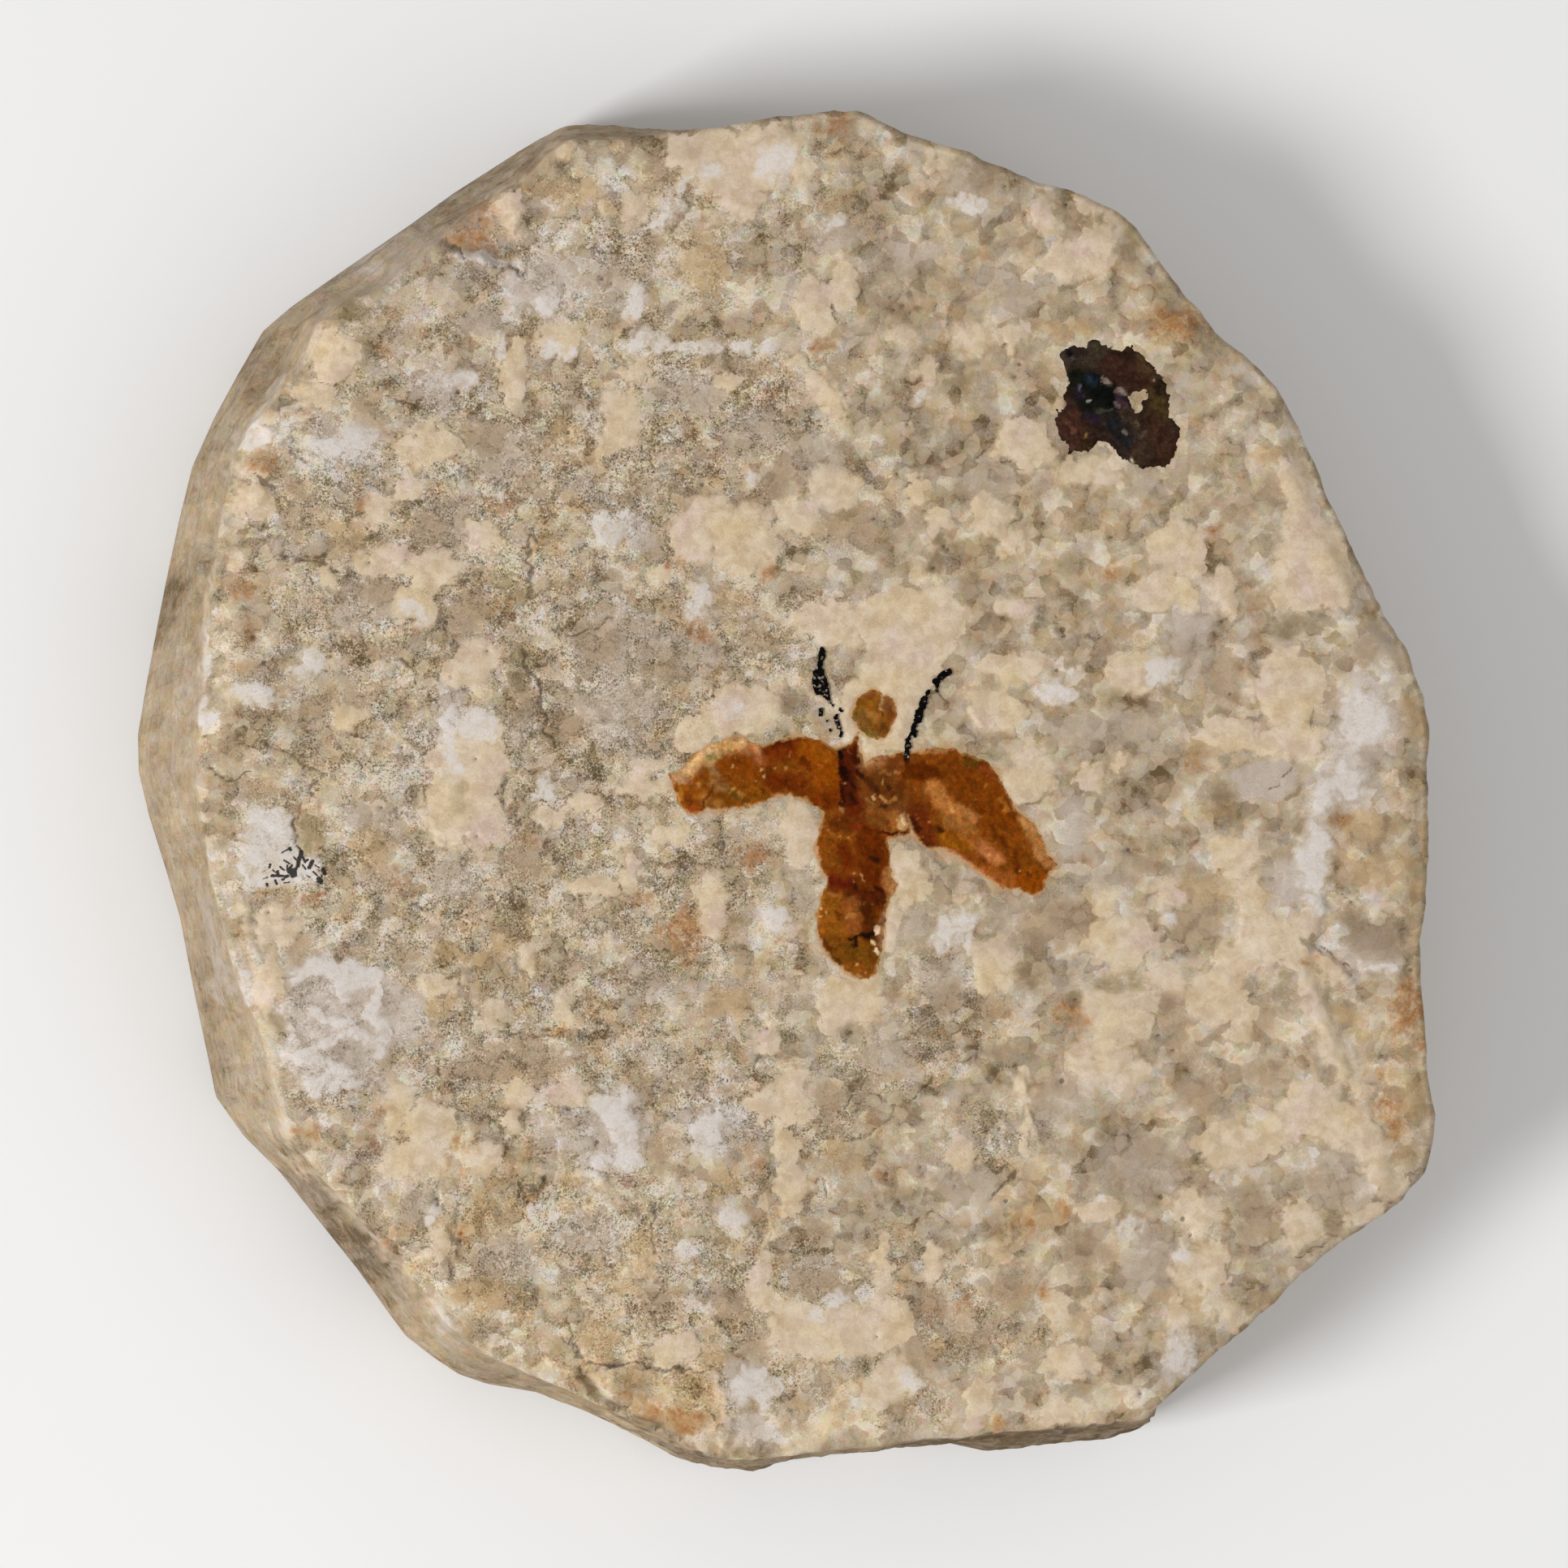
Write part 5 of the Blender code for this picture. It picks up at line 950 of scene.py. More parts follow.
def face_middles(mesh):
    middles = np.array([face.calc_center_median() for face in mesh.faces])
    return on_picture(middles[:, 0], middles[:, 1], SLAB_THICKNESS)


def divide_faces(mesh, chosen, cuts):
    mesh.faces.index_update()
    edges = [edge for edge in mesh.edges if any(chosen[face.index] for face in edge.link_faces)]
    bmesh.ops.subdivide_edges(mesh, edges=edges, cuts=cuts, use_grid_fill=True)


def refine_details(mesh):
    """Divide the grid finer along the broken layers, the cracks, the pits and the black marks."""
    px, py = face_middles(mesh)
    near = np.zeros(px.shape, bool)
    for outline, depth, width in LOST_LAYERS:
        near |= np.abs(inside_distance(px, py, outline)) < 9
    fine = np.zeros(px.shape, bool)
    for outline in (LEFT_WING, RIGHT_WING, BODY, HEAD):
        fine |= np.abs(inside_distance(px, py, outline) + 2) < 7
    for path, width, strength in CRACKS + BROKEN_EDGES:
        fine |= path_distance(px, py, path) < 6 + width
    finest = np.zeros(px.shape, bool)
    for path, width in BLACK_MARKS:
        finest |= path_distance(px, py, path) < 6 + width
    for x, y, radius in PITS:
        fine |= np.hypot(px - x, py - y) < 7 + radius
    inner = reach_at(np.arctan2(*[(np.array([face.calc_center_median()[axis] for face in mesh.faces]))
                                  for axis in (1, 0)]), RIM_REACH)
    radii = np.array([face.calc_center_median().xy.length for face in mesh.faces])
    inside_rim = radii < inner - RIM_STRIP
    cuts = np.where(finest, 5, np.where(fine, 2, np.where(near, 1, 0))) * inside_rim
    layer = mesh.faces.layers.int.new("divide")
    for face, number in zip(mesh.faces, cuts):
        face[layer] = int(number)
    for number in (5, 2, 1):
        divide_faces(mesh, [face[layer] == number for face in mesh.faces], number)
    mesh.faces.layers.int.remove(mesh.faces.layers.int["divide"])


def raise_relief(mesh):
    spots = np.array([vert.co for vert in mesh.verts])
    for vert, height in zip(mesh.verts, stone_height(spots[:, 0], spots[:, 1])):
        vert.co.z = height


def extrude_ring(mesh, edges):
    """Extrude a ring of edges: the new edges and the new vertices."""
    made = bmesh.ops.extrude_edge_only(mesh, edges=edges)["geom"]
    new_edges = [item for item in made if isinstance(item, bmesh.types.BMEdge)]
    new_verts = [item for item in made if isinstance(item, bmesh.types.BMVert)]
    return new_edges, new_verts


def wall_spot(angle, top, part):
    """A point of the wall: ledges come and go around it, with thin beds between them."""
    start = float(reach_at(angle, RIM_REACH))
    end = float(reach_at(angle, FOOT_REACH))
    down = part * WALL_PROFILE[-1][0]
    out = float(np.interp(down, [row[0] for row in WALL_PROFILE], [row[1] for row in WALL_PROFILE]))
    within = float(ease(part * 5) * ease((1 - part) * 5))
    stepped = float(ease(0.55 + around(angle, 1.1, 2.3, 40 + round(down * 4))))
    rough = around(angle, 0.00030, 3.2, down * 9) + around(angle, 0.00016, 13, down * 20)
    beds = around(angle, 0.00012, 5, part * 38) + around(angle, 0.00007, 70, part * 22)
    radius = start + (end - start) * (part + (out - part) * stepped) + rough * within + beds * within
    fall = part + around(angle, 0.05, 2.1, 70 + down) * within
    return math.cos(angle) * radius, math.sin(angle) * radius, top + (FOOT_HEIGHT - top) * fall


def build_wall(mesh):
    """Carry the rim down in ledges and thin beds to the foot, then in to the edge of the resting face."""
    down_layer = mesh.verts.layers.float.new("down")
    edges = [edge for edge in mesh.edges if edge.is_boundary]
    rim = sorted({(math.atan2(vert.co.y, vert.co.x), vert.co.z) for edge in edges for vert in edge.verts})
    rim_angles, rim_heights = [row[0] for row in rim], [row[1] for row in rim]
    for ring in range(1, WALL_RINGS + 1):
        part = ring / WALL_RINGS
        edges, verts = extrude_ring(mesh, edges)
        for vert in verts:
            angle = math.atan2(vert.co.y, vert.co.x)
            vert.co = wall_spot(angle, float(np.interp(angle, rim_angles, rim_heights)), part)
            vert[down_layer] = part
    edges, verts = extrude_ring(mesh, edges)
    for vert in verts:
        angle = math.atan2(vert.co.y, vert.co.x)
        radius = float(reach_at(angle, FOOT_REACH)) - BASE_CHAMFER + around(angle, 0.0004, 5, 3)
        vert.co = (math.cos(angle) * radius, math.sin(angle) * radius, 0)
        vert[down_layer] = 1
    bmesh.ops.contextual_create(mesh, geom=edges)


def make_object(name, mesh, material):
    for face in mesh.faces:
        face.smooth = True
    data = bpy.data.meshes.new(name)
    mesh.to_mesh(data)
    mesh.free()
    data.materials.append(material)
    piece = bpy.data.objects.new(name, data)
    bpy.context.collection.objects.link(piece)
    return piece


def vertex_places(data):
    places = np.zeros(len(data.vertices) * 3)
    data.vertices.foreach_get("co", places)
    return places.reshape(-1, 3).T


def store(data, name, values):
    """Keep one number for each vertex under a name that the material reads."""
    kept = data.attributes.new(name, "FLOAT", "POINT").data
    kept.foreach_set("value", np.asarray(values, dtype=np.float32))


def store_colour(data, name, colours):
    rows = np.concatenate([colours, np.ones((len(colours), 1))], axis=1)
    kept = data.attributes.new(name, "FLOAT_COLOR", "POINT").data
    kept.foreach_set("color", rows.astype(np.float32).ravel())


def mark_stone(data):
    """The patches, cracks and marks of the stone, as numbers on its vertices."""
    x, y, z = vertex_places(data)
    px, py = on_picture(x, y, z)
    down = np.zeros(px.shape)
    data.attributes["down"].data.foreach_get("value", down)
    below = ease(down * 3)
    px += (lumps(x, y, 30, 260, z * 330 + 5.5) + lumps(x, y, 14, 800, z * 800 + 6.5)) * below
    py += (lumps(x, y, 30, 260, z * 330 + 8.5) + lumps(x, y, 14, 800, z * 800 + 9.5)) * below
    wx, wy = wandered(px, py)
    hidden = 0.6 * ease(down * 2) * ease((px - 500) / 300)
    for name in PATCHES:
        store(data, name, np.clip(patch_field(wx, wy, name) - hidden, -1, 2))
    lighter, yellower = np.zeros(px.shape), np.zeros(px.shape)
    for x0, y0, half_width, half_height, light, *yellow in WIDE_AREAS:
        spread = soft_spread(wx, wy, [(x0, y0, half_width, half_height)])
        lighter += light * spread
        yellower += sum(yellow) * spread
    # the wall's painted shade, and a little painted light, added to 'lighter'
    for x0, y0, half_width, half_height, light in WALL_PAINTED_SHADE:
        lighter += light * soft_spread(wx, wy, [(x0, y0, half_width, half_height)]) * ease(down * 8)
    store(data, "lighter", lighter)
    store(data, "yellower", yellower)
    left_part = 0.5 * ease((1200 - px) / 400)
    from_rim = 0.35 + 0.65 * ease(inside_distance(px, py, RIM_RIGHT + RIM_LEFT) / 60)
    store(data, "granular", np.clip(left_part + 0.6 * soft_spread(wx, wy, GRANULAR), 0, 1) * from_rim)
    sx, sy = wavered(px, py)
    crack, pit = np.full(px.shape, -20.0), np.full(px.shape, -20.0)
    for path, width, strength in CRACKS:
        crack = np.maximum(crack, 0.8 * width * strength - path_distance(sx, sy, path))
    for x0, y0, radius in PITS:
        pit = np.maximum(pit, 0.85 * radius - np.hypot(px - x0, py - y0))
    store(data, "crack", crack)
    store(data, "pit", pit)
    # painted light along the broken edges, partly the paleness of fresh stone
    lit = np.zeros(px.shape)
    for path, width, strength in BROKEN_EDGES:
        lit = np.maximum(lit, strength * ease(1.4 - path_distance(sx, sy, path) / (width * 1.6)))
    store(data, "lit", lit)
    ink = np.full(px.shape, -9.0)
    for path, width in BLACK_MARKS:
        ink = np.maximum(ink, width + 0.2 - path_distance(px, py, path))
    store(data, "ink", ink)
    store(data, "stain", stain_strength(px, py))


def make_slab(material):
    mesh = bmesh.new()
    bmesh.ops.create_grid(mesh, x_segments=GRID_CELLS, y_segments=GRID_CELLS, size=1)
    spread_over_rim(mesh)
    refine_details(mesh)
    raise_relief(mesh)
    build_wall(mesh)
    bmesh.ops.recalc_face_normals(mesh, faces=mesh.faces)
    piece = make_object("limestone_slab", mesh, material)
    mark_stone(piece.data)
    return piece


def snap_to_edge(mesh, depth_at):
    """Keep the part of a flat grid that lies inside an outline, its border drawn onto the outline."""
    spots = np.array([vert.co for vert in mesh.verts])
    depth = depth_at(spots[:, 0], spots[:, 1])
    mesh.verts.index_update()
    outside = [face for face in mesh.faces if all(depth[vert.index] <= 0 for vert in face.verts)]
    step = PIXEL / 4
    slope_x = (depth_at(spots[:, 0] + step, spots[:, 1]) - depth) / step
    slope_y = (depth_at(spots[:, 0], spots[:, 1] + step) - depth) / step
    steep = np.maximum(slope_x ** 2 + slope_y ** 2, 0.4 / PIXEL ** 2)
    for vert in mesh.verts:
        number = vert.index
        if depth[number] < 0:
            vert.co.x -= depth[number] * slope_x[number] / steep[number]
            vert.co.y -= depth[number] * slope_y[number] / steep[number]
    bmesh.ops.delete(mesh, geom=outside, context="FACES")


def make_film(name, box_of, cell, depth_at, rise_at, material):
    """A thin film grown to the stone: the part of a fine grid inside its outline, with a face below."""
    low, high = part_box(box_of)
    margin = FILM_MARGIN * PIXEL
    width, height = high.x - low.x + 2 * margin, high.y - low.y + 2 * margin
    mesh = bmesh.new()
    middle = Matrix.Translation(((low.x + high.x) / 2, (low.y + high.y) / 2, 0))
    bmesh.ops.create_grid(mesh, x_segments=round(width / cell), y_segments=round(height / cell), size=0.5,
                          matrix=middle @ Matrix.Diagonal((width, height, 1, 1)))
    snap_to_edge(mesh, depth_at)
    made = bmesh.ops.extrude_face_region(mesh, geom=list(mesh.faces))["geom"]
    upper = {item for item in made if isinstance(item, bmesh.types.BMVert)}
    spots = np.array([vert.co for vert in mesh.verts])
    stone = stone_height(spots[:, 0], spots[:, 1])
    rise = rise_at(spots[:, 0], spots[:, 1])
    for number, vert in enumerate(mesh.verts):
        vert.co.z = stone[number] + (rise[number] if vert in upper else -FILM_SUNK)
    return make_object(name, mesh, material)


def ragged(x, y, amount, closeness, layer):
    return lumps(x, y, amount, closeness, layer) + lumps(x, y, amount * 0.5, closeness * 2.6, layer + 1)


def fly_depth(x, y):
    px, py = on_picture(x, y, SLAB_THICKNESS)
    depth = np.full(px.shape, -1e3)
    for outline in (LEFT_WING, RIGHT_WING, BODY):
        depth = np.maximum(depth, inside_distance(px, py, outline))
    return depth + ragged(x, y, 2.6, 4200, 7.7)


def fly_rise(x, y):
    px, py = on_picture(x, y, SLAB_THICKNESS)
    edge = ease(fly_depth(x, y) / 5)
    body = ease(inside_distance(px, py, BODY) / 18)
    return FILM_BORDER + (0.00003 + 0.00007 * body) * edge + ragged(x, y, 0.000035, 1700, 9.2) * edge


def head_depth(x, y):
    px, py = on_picture(x, y, SLAB_THICKNESS)
    return inside_distance(px, py, HEAD) + ragged(x, y, 1.9, 4600, 11.7)


def head_rise(x, y):
    edge = ease(head_depth(x, y) / 16)
    return FILM_BORDER + 0.00009 * edge + ragged(x, y, 0.00003, 1900, 12.2) * edge


def flake_depth(x, y):
    px, py = on_picture(x, y, SLAB_THICKNESS)
    window = inside_distance(px, py, FLAKE_WINDOW)
    return np.minimum(inside_distance(px, py, FLAKE) + 1.5, -window) + ragged(x, y, 5.5, 3300, 14.7)


def flake_rise(x, y):
    edge = ease(flake_depth(x, y) / 5)
    return FILM_BORDER + 0.00005 * edge + ragged(x, y, 0.00003, 2200, 15.2) * edge


def antenna_depth(strokes):
    def depth_at(x, y):
        px, py = on_picture(x, y, SLAB_THICKNESS)
        depth = np.full(px.shape, -1e3)
        for path, width in strokes:
            depth = np.maximum(depth, width - path_distance(px, py, path))
        return depth + ragged(x, y, 1.7, 7600, 17.7)
    return depth_at


def antenna_rise(x, y):
    return np.full(x.shape, ANTENNA_RISE)


def tone(code):
    """The linear colour of a six-figure colour code."""
    parts = [int(code[place:place + 2], 16) / 255 for place in (1, 3, 5)]
    return [part / 12.92 if part <= 0.04045 else ((part + 0.055) / 1.055) ** 2.4 for part in parts]


def paint(data, ground, strokes, depth_at=None, fade=0.6):
    """Lay soft strokes of colour over a ground, one after the other, and fade them at the border."""
    x, y, z = vertex_places(data)
    px, py = on_picture(x, y, z)
    px = px + lumps(px, py, 3.8, 0.11, 21.3) + lumps(px, py, 2.2, 0.33, 22.3)
    py = py + lumps(px, py, 3.8, 0.11, 23.3) + lumps(px, py, 2.2, 0.33, 24.3)
    colours = np.tile(tone(ground), (len(px), 1))
    for code, path, width, softness in strokes:
        softness = softness * (1 + 0.9 * float(ease((width - 2.5) / 3)))
        cover = ease((width - path_distance(px, py, path)) / softness + 0.5)[:, None]
        colours = colours * (1 - cover) + np.array(tone(code)) * cover
    if depth_at:
        faded = fade * ease(1.05 - (depth_at(x, y) + lumps(px, py, 2.6, 0.09, 25.3)) / FILM_EDGE)[:, None]
        colours = colours * (1 - faded) + np.array(tone(STONE_BESIDE_FILM)) * faded
    store_colour(data, "paint", colours)


class Finish:
    """The node tree of one material."""

    def __init__(self, name):
        self.material = bpy.data.materials.new(name)
        self.material.use_nodes = True
        self.tree = self.material.node_tree
        self.shader = self.tree.nodes["Principled BSDF"]
        place_on_object = self.tree.nodes.new("ShaderNodeTexCoord").outputs["Object"]
        to_millimetres = self.tree.nodes.new("ShaderNodeMapping")
        to_millimetres.inputs["Scale"].default_value = (1000, 1000, 1000)
        self.join(place_on_object, to_millimetres.inputs["Vector"])
        self.millimetres = to_millimetres.outputs["Vector"]

    def join(self, value, socket):
        if isinstance(value, bpy.types.NodeSocket):
            self.tree.links.new(value, socket)
        elif isinstance(value, (tuple, list)):
            socket.default_value = (*value, 1) if len(value) == 3 and socket.type == "RGBA" else value
        else:
            socket.default_value = value

    def mapped(self, scale=(1, 1, 1), shift=(0, 0, 0)):
        node = self.tree.nodes.new("ShaderNodeMapping")
        self.join(self.millimetres, node.inputs["Vector"])
        node.inputs["Scale"].default_value = scale
        node.inputs["Location"].default_value = shift
        return node.outputs["Vector"]

    def noise(self, closeness, detail=2.0, rough=0.5, where=None, colour=False):
        node = self.tree.nodes.new("ShaderNodeTexNoise")
        self.join(where or self.millimetres, node.inputs["Vector"])
        node.inputs["Scale"].default_value = closeness
        node.inputs["Detail"].default_value = detail
        node.inputs["Roughness"].default_value = rough
        return node.outputs["Color" if colour else "Fac"]

    def cells(self, closeness, where, flat_blend=None):
        """Distance to the nearest of many scattered points, and that point's own three random numbers."""
        node = self.tree.nodes.new("ShaderNodeTexVoronoi")
        self.join(where, node.inputs["Vector"])
        node.inputs["Scale"].default_value = closeness
        if flat_blend is not None:
            node.voronoi_dimensions = "2D"
            node.feature = "SMOOTH_F1"
            node.inputs["Smoothness"].default_value = flat_blend
        split = self.tree.nodes.new("ShaderNodeSeparateColor")
        self.join(node.outputs["Color"], split.inputs["Color"])
        return node.outputs["Distance"], split.outputs

    def maths(self, operation, first, second=0.0, third=0.0):
        node = self.tree.nodes.new("ShaderNodeMath")
        node.operation = operation
        for value, socket in zip((first, second, third), node.inputs):
            self.join(value, socket)
        return node.outputs["Value"]

    def times(self, first, second):
        return self.maths("MULTIPLY", first, second)

    def scaled(self, value, factor, offset):
        return self.maths("MULTIPLY_ADD", value, factor, offset)

    def step(self, value, low, high, to_low=0.0, to_high=1.0):
        node = self.tree.nodes.new("ShaderNodeMapRange")
        node.interpolation_type = "SMOOTHSTEP"
        for name, part in (("Value", value), ("From Min", low), ("From Max", high),
                           ("To Min", to_low), ("To Max", to_high)):
            self.join(part, node.inputs[name])
        return node.outputs["Result"]

    def blend(self, amount, first, second, kind="MIX"):
        node = self.tree.nodes.new("ShaderNodeMix")
        node.data_type = "RGBA"
        node.blend_type = kind
        self.join(amount, node.inputs["Factor"])
        self.join(first, node.inputs[6])
        self.join(second, node.inputs[7])
        return node.outputs[2]

    def towards(self, amount, value, target):
        """A number drawn part of the way to a target."""
        return self.maths("MULTIPLY_ADD", amount, self.maths("SUBTRACT", target, value), value)

    def ramp(self, value, stops):
        node = self.tree.nodes.new("ShaderNodeValToRGB")
        for number, (position, code) in enumerate(stops):
            stop = node.color_ramp.elements[number] if number < 2 else node.color_ramp.elements.new(position)
            stop.position = position
            stop.color = (*tone(code), 1)
        self.join(value, node.inputs["Fac"])
        return node.outputs["Color"]

    def kept(self, name, output="Fac"):
        node = self.tree.nodes.new("ShaderNodeAttribute")
        node.attribute_name = name
        return node.outputs[output]

    def bend(self, closeness, amount):
        """Places in millimetres, pushed about by noise."""
        push = self.tree.nodes.new("ShaderNodeVectorMath")
        push.operation = "MULTIPLY_ADD"
        self.join(self.noise(closeness, 3, colour=True), push.inputs[0])
        self.join((amount, amount, amount), push.inputs[1])
        self.join(self.millimetres, push.inputs[2])
        return push.outputs["Vector"]

    def bump(self, height, distance, strength=1.0):
        node = self.tree.nodes.new("ShaderNodeBump")
        self.join(height, node.inputs["Height"])
        node.inputs["Distance"].default_value = distance
        node.inputs["Strength"].default_value = strength
        self.join(node.outputs["Normal"], self.shader.inputs["Normal"])


def limestone():
    """Mottled limestone: cream skin, lilac-grey grain, rust stains, pits and cracks, with painted shade on
    the wall and painted light along broken edges.
    """
    finish = Finish("limestone")
    pushed = finish.bend(1.7, 0.7)
    shaken = finish.bend(7.0, 0.30)
    mottle = finish.noise(0.7, 2, 0.55, where=pushed)
    ragged_edge = finish.noise(2.4, 4, 0.65, where=pushed)
    grain = finish.noise(12, 2, 0.8)
    lobe_distance, lobes = finish.cells(1.7, pushed, flat_blend=0.15)
    flake_distance, flakes = finish.cells(2.9, shaken)
    crumbs = finish.cells(7.5, shaken)[1]
    crumbly = finish.noise(0.7, 3, 0.6, where=finish.mapped(shift=(6, 9, 1)))
    crumbly = finish.step(crumbly, 0.38, 0.60, 0.35, 1.0)
    granular = finish.times(finish.scaled(finish.kept("granular"), 0.85, 0.15), crumbly)
    edge = finish.scaled(lobe_distance, -0.40, 0.01)
    edge = finish.scaled(flake_distance, -0.20, edge)
    edge = finish.scaled(ragged_edge, 0.5, edge)
    soft = finish.step(finish.noise(0.45, 2, where=finish.mapped(shift=(2, 4, 8))), 0.35, 0.65, 0.05, 0.30)

    # how light the stone is, from 0 to 1
    level = finish.scaled(mottle, 1.5, -0.45)
    level = finish.maths("ADD", level, finish.kept("lighter"))
    level = finish.scaled(lobes[0], 0.44, level)
    flaky = finish.scaled(flakes[0], 0.42, -0.21)
    level = finish.scaled(flaky, finish.scaled(granular, 0.6, 0.4), level)
    pale = finish.step(lobes[1], 0.56, 0.66)
    pale = finish.times(pale, finish.step(finish.scaled(ragged_edge, -0.6, lobe_distance),
                                                      0.24, 0.10))
    level = finish.towards(finish.times(pale, 0.38), level, 0.72)
    granular = finish.times(granular, finish.scaled(pale, -0.6, 1.0))
    fine = finish.scaled(crumbs[0], 0.46, -0.23 - 0.66 + 0.10)
    fine = finish.scaled(grain, 1.32, fine)
    fine = finish.scaled(finish.step(grain, 0.44, 0.37), -0.85, fine)
    fine = finish.scaled(finish.step(grain, 0.58, 0.65), 0.72, fine)
    level = finish.scaled(fine, granular, level)

    # its hue: from ochre to lilac, and from pink to green
    warmth = finish.noise(1.1, 3, 0.6, where=finish.mapped(shift=(11, 5, 3)))
    warmth = finish.scaled(finish.kept("yellower"), -0.30, warmth)
    tint = finish.ramp(warmth, [(0.28, "#fbe6ba"), (0.72, "#f3f4ff"), (0.43, "#fbf3dd"), (0.54, "#faf6ec")])
    blush = finish.noise(1.9, 3, 0.6, where=finish.mapped(shift=(4, 13, 7)))
    blush_tint = finish.ramp(blush, [(0.32, "#ffede8"), (0.68, "#f4fff2"), (0.5, "#fefdfb")])
    tint = finish.blend(1.0, tint, blush_tint, "MULTIPLY")
    cell_tint = finish.ramp(flakes[1], [(0.0, "#ffe8d2"), (1.0, "#f2fbff"), (0.25, "#faf8da"),
                                        (0.5, "#fff6e0"), (0.75, "#fff9f2")])
    tint = finish.blend(0.35, tint, cell_tint)

    skin = finish.noise(0.5, 2, where=finish.mapped(shift=(8, 3, 9)))
    skin_tone = finish.ramp(skin, [(0.32, "#fff0cc"), (0.68, "#fdede6"),
                                   (0.44, "#fff2d8"), (0.56, "#fff2de")])
    skin_level = finish.step(finish.noise(1.6, 3, 0.6, where=pushed), 0.3, 0.7, 0.69, 0.94)
    breaks = finish.step(finish.noise(3.0, 3, 0.6, where=pushed), 0.38, 0.54, 0.45, 1.0)
    stained = finish.scaled(crumbs[2], 0.55, 0.08)
    clear = 1.0
    for name, target, cover, code, tinted, reach, blur in (
            ("lilac", 0.45, 0.45, "#fffdfc", 0.6, 1.3, 0.25),
            ("brown", 0.30, 0.50, "#fff1dc", 0.6, 1.3, 0.20),
            ("tan", 0.52, 0.40, "#ffe9bf", 0.65, 1.3, 0.20),
            ("haze", 0.71, 0.50, "#f9f8fa", 0.85, 1.3, 0.25),
            ("cream", skin_level, 0.86, skin_tone, 0.85, 1.4, 0.02),
            ("white", 0.95, 0.80, "#f9f9fb", 0.88, 1.4, 0.10),
            # olive patches: olive-grey stone, and painted shade of the wall's underside at the bottom
            ("olive", 0.20, 0.62, "#f8f5d2", 0.7, 1.2, 0.25),
            # dim patches: dark stone, and painted shade of the wall along the rim
            ("dim", 0.12, 0.65, "#fff2e2", 0.5, 1.0, 0.2),
            ("rust", stained, 0.62, "#f2ae62", 0.66, 1.6, 0.3)):
        inside = finish.scaled(edge, reach, finish.kept(name))
        if name == "cream":
            inside = finish.maths("ADD", inside, 0.10)
        width = finish.maths("ADD", soft, blur)
        mask = finish.step(inside, finish.maths("SUBTRACT", 0.5, width), finish.maths("ADD", 0.5, width))
        if name in ("rust", "olive"):
            mask = finish.times(mask, breaks)
        if name == "white":
            mask = finish.times(mask, finish.scaled(breaks, 0.6, 0.4))
        level = finish.towards(finish.times(mask, cover), level, target)
        tint = finish.blend(finish.times(mask, tinted), tint,
                            tone(code) if isinstance(code, str) else code)
        if name in ("cream", "white"):
            clear = finish.times(clear, finish.scaled(mask, -0.85, 1.0))

    # thin beds of the wall, shifted by the 'lighter' numbers, which carry the wall's painted shade
    on_wall = finish.step(finish.kept("down"), 0.0, 0.06)
    beds = finish.noise(1.0, 4, 0.7, where=finish.mapped(scale=(1.5, 1.5, 4.5)))
    bed_level = finish.maths("ADD", finish.scaled(beds, 1.1, -0.25), finish.kept("lighter"))
    level = finish.towards(finish.times(on_wall, 0.65), level, bed_level)

    # grains, cracks, and broken edges: 'lit' paints the edges pale, partly as fresh stone and partly as
    # painted light
    granular = finish.times(granular, clear)
    holes = finish.times(finish.step(crumbs[1], 0.10, 0.04), granular)
    seams = finish.maths("ABSOLUTE", finish.maths("SUBTRACT", ragged_edge, 0.5))
    seams = finish.times(finish.step(seams, 0.016, 0.004), finish.step(blush, 0.48, 0.60))
    holes = finish.maths("MAXIMUM", holes, finish.times(seams, finish.step(granular, 0.15, 0.6)))
    glints = finish.times(finish.step(crumbs[1], 0.92, 0.97), granular)
    level = finish.towards(finish.times(holes, 0.6), level, 0.0)
    level = finish.towards(finish.times(glints, 0.35), level, 0.95)
    level = finish.towards(finish.times(finish.kept("lit"), 0.7), level, 0.88)
    colour = finish.ramp(level, [(0.0, "#66563f"), (1.0, "#dfd9d4"), (0.18, "#8e7e6c"), (0.35, "#a49584"),
                                 (0.5, "#b2a392"), (0.65, "#c0b2a3"), (0.8, "#cfc4b8")])
    colour = finish.blend(1.0, colour, tint, "MULTIPLY")
    broken = finish.maths("SUBTRACT", grain, 0.5)
    crack = finish.step(finish.scaled(broken, 6.0, finish.kept("crack")), -1.4, 0.6, 0, 0.72)
    colour = finish.blend(crack, colour, tone("#4a3928"))
    pit = finish.step(finish.scaled(broken, 4.0, finish.kept("pit")), -0.5, 0.8, 0, 0.62)
    colour = finish.blend(pit, colour, tone("#3c2d20"))
    soaked = finish.scaled(broken, 1.1, finish.kept("stain"))
    colour = finish.blend(finish.step(soaked, 0.15, 1.0, 0, 0.75), colour, tone(STONE_BESIDE_FILM))
    ink_edge = finish.scaled(broken, 3.5, finish.kept("ink"))
    colour = finish.blend(finish.step(ink_edge, -0.4, 0.6, 0, 0.95), colour, tone("#15140f"))
    finish.join(colour, finish.shader.inputs["Base Color"])

    finish.join(finish.step(mottle, 0.3, 0.7, 0.96, 0.84), finish.shader.inputs["Roughness"])
    finish.shader.inputs["Specular IOR Level"].default_value = 0.3
    height = finish.times(finish.maths("SUBTRACT", grain, 0.5), granular)
    height = finish.scaled(crumbs[0], 0.3, height)
    height = finish.scaled(clear, -0.12, height)
    height = finish.scaled(holes, -0.8, height)
    height = finish.scaled(finish.times(beds, on_wall), 1.0, height)
    finish.bump(height, 0.00009, 0.8)
    return finish.material


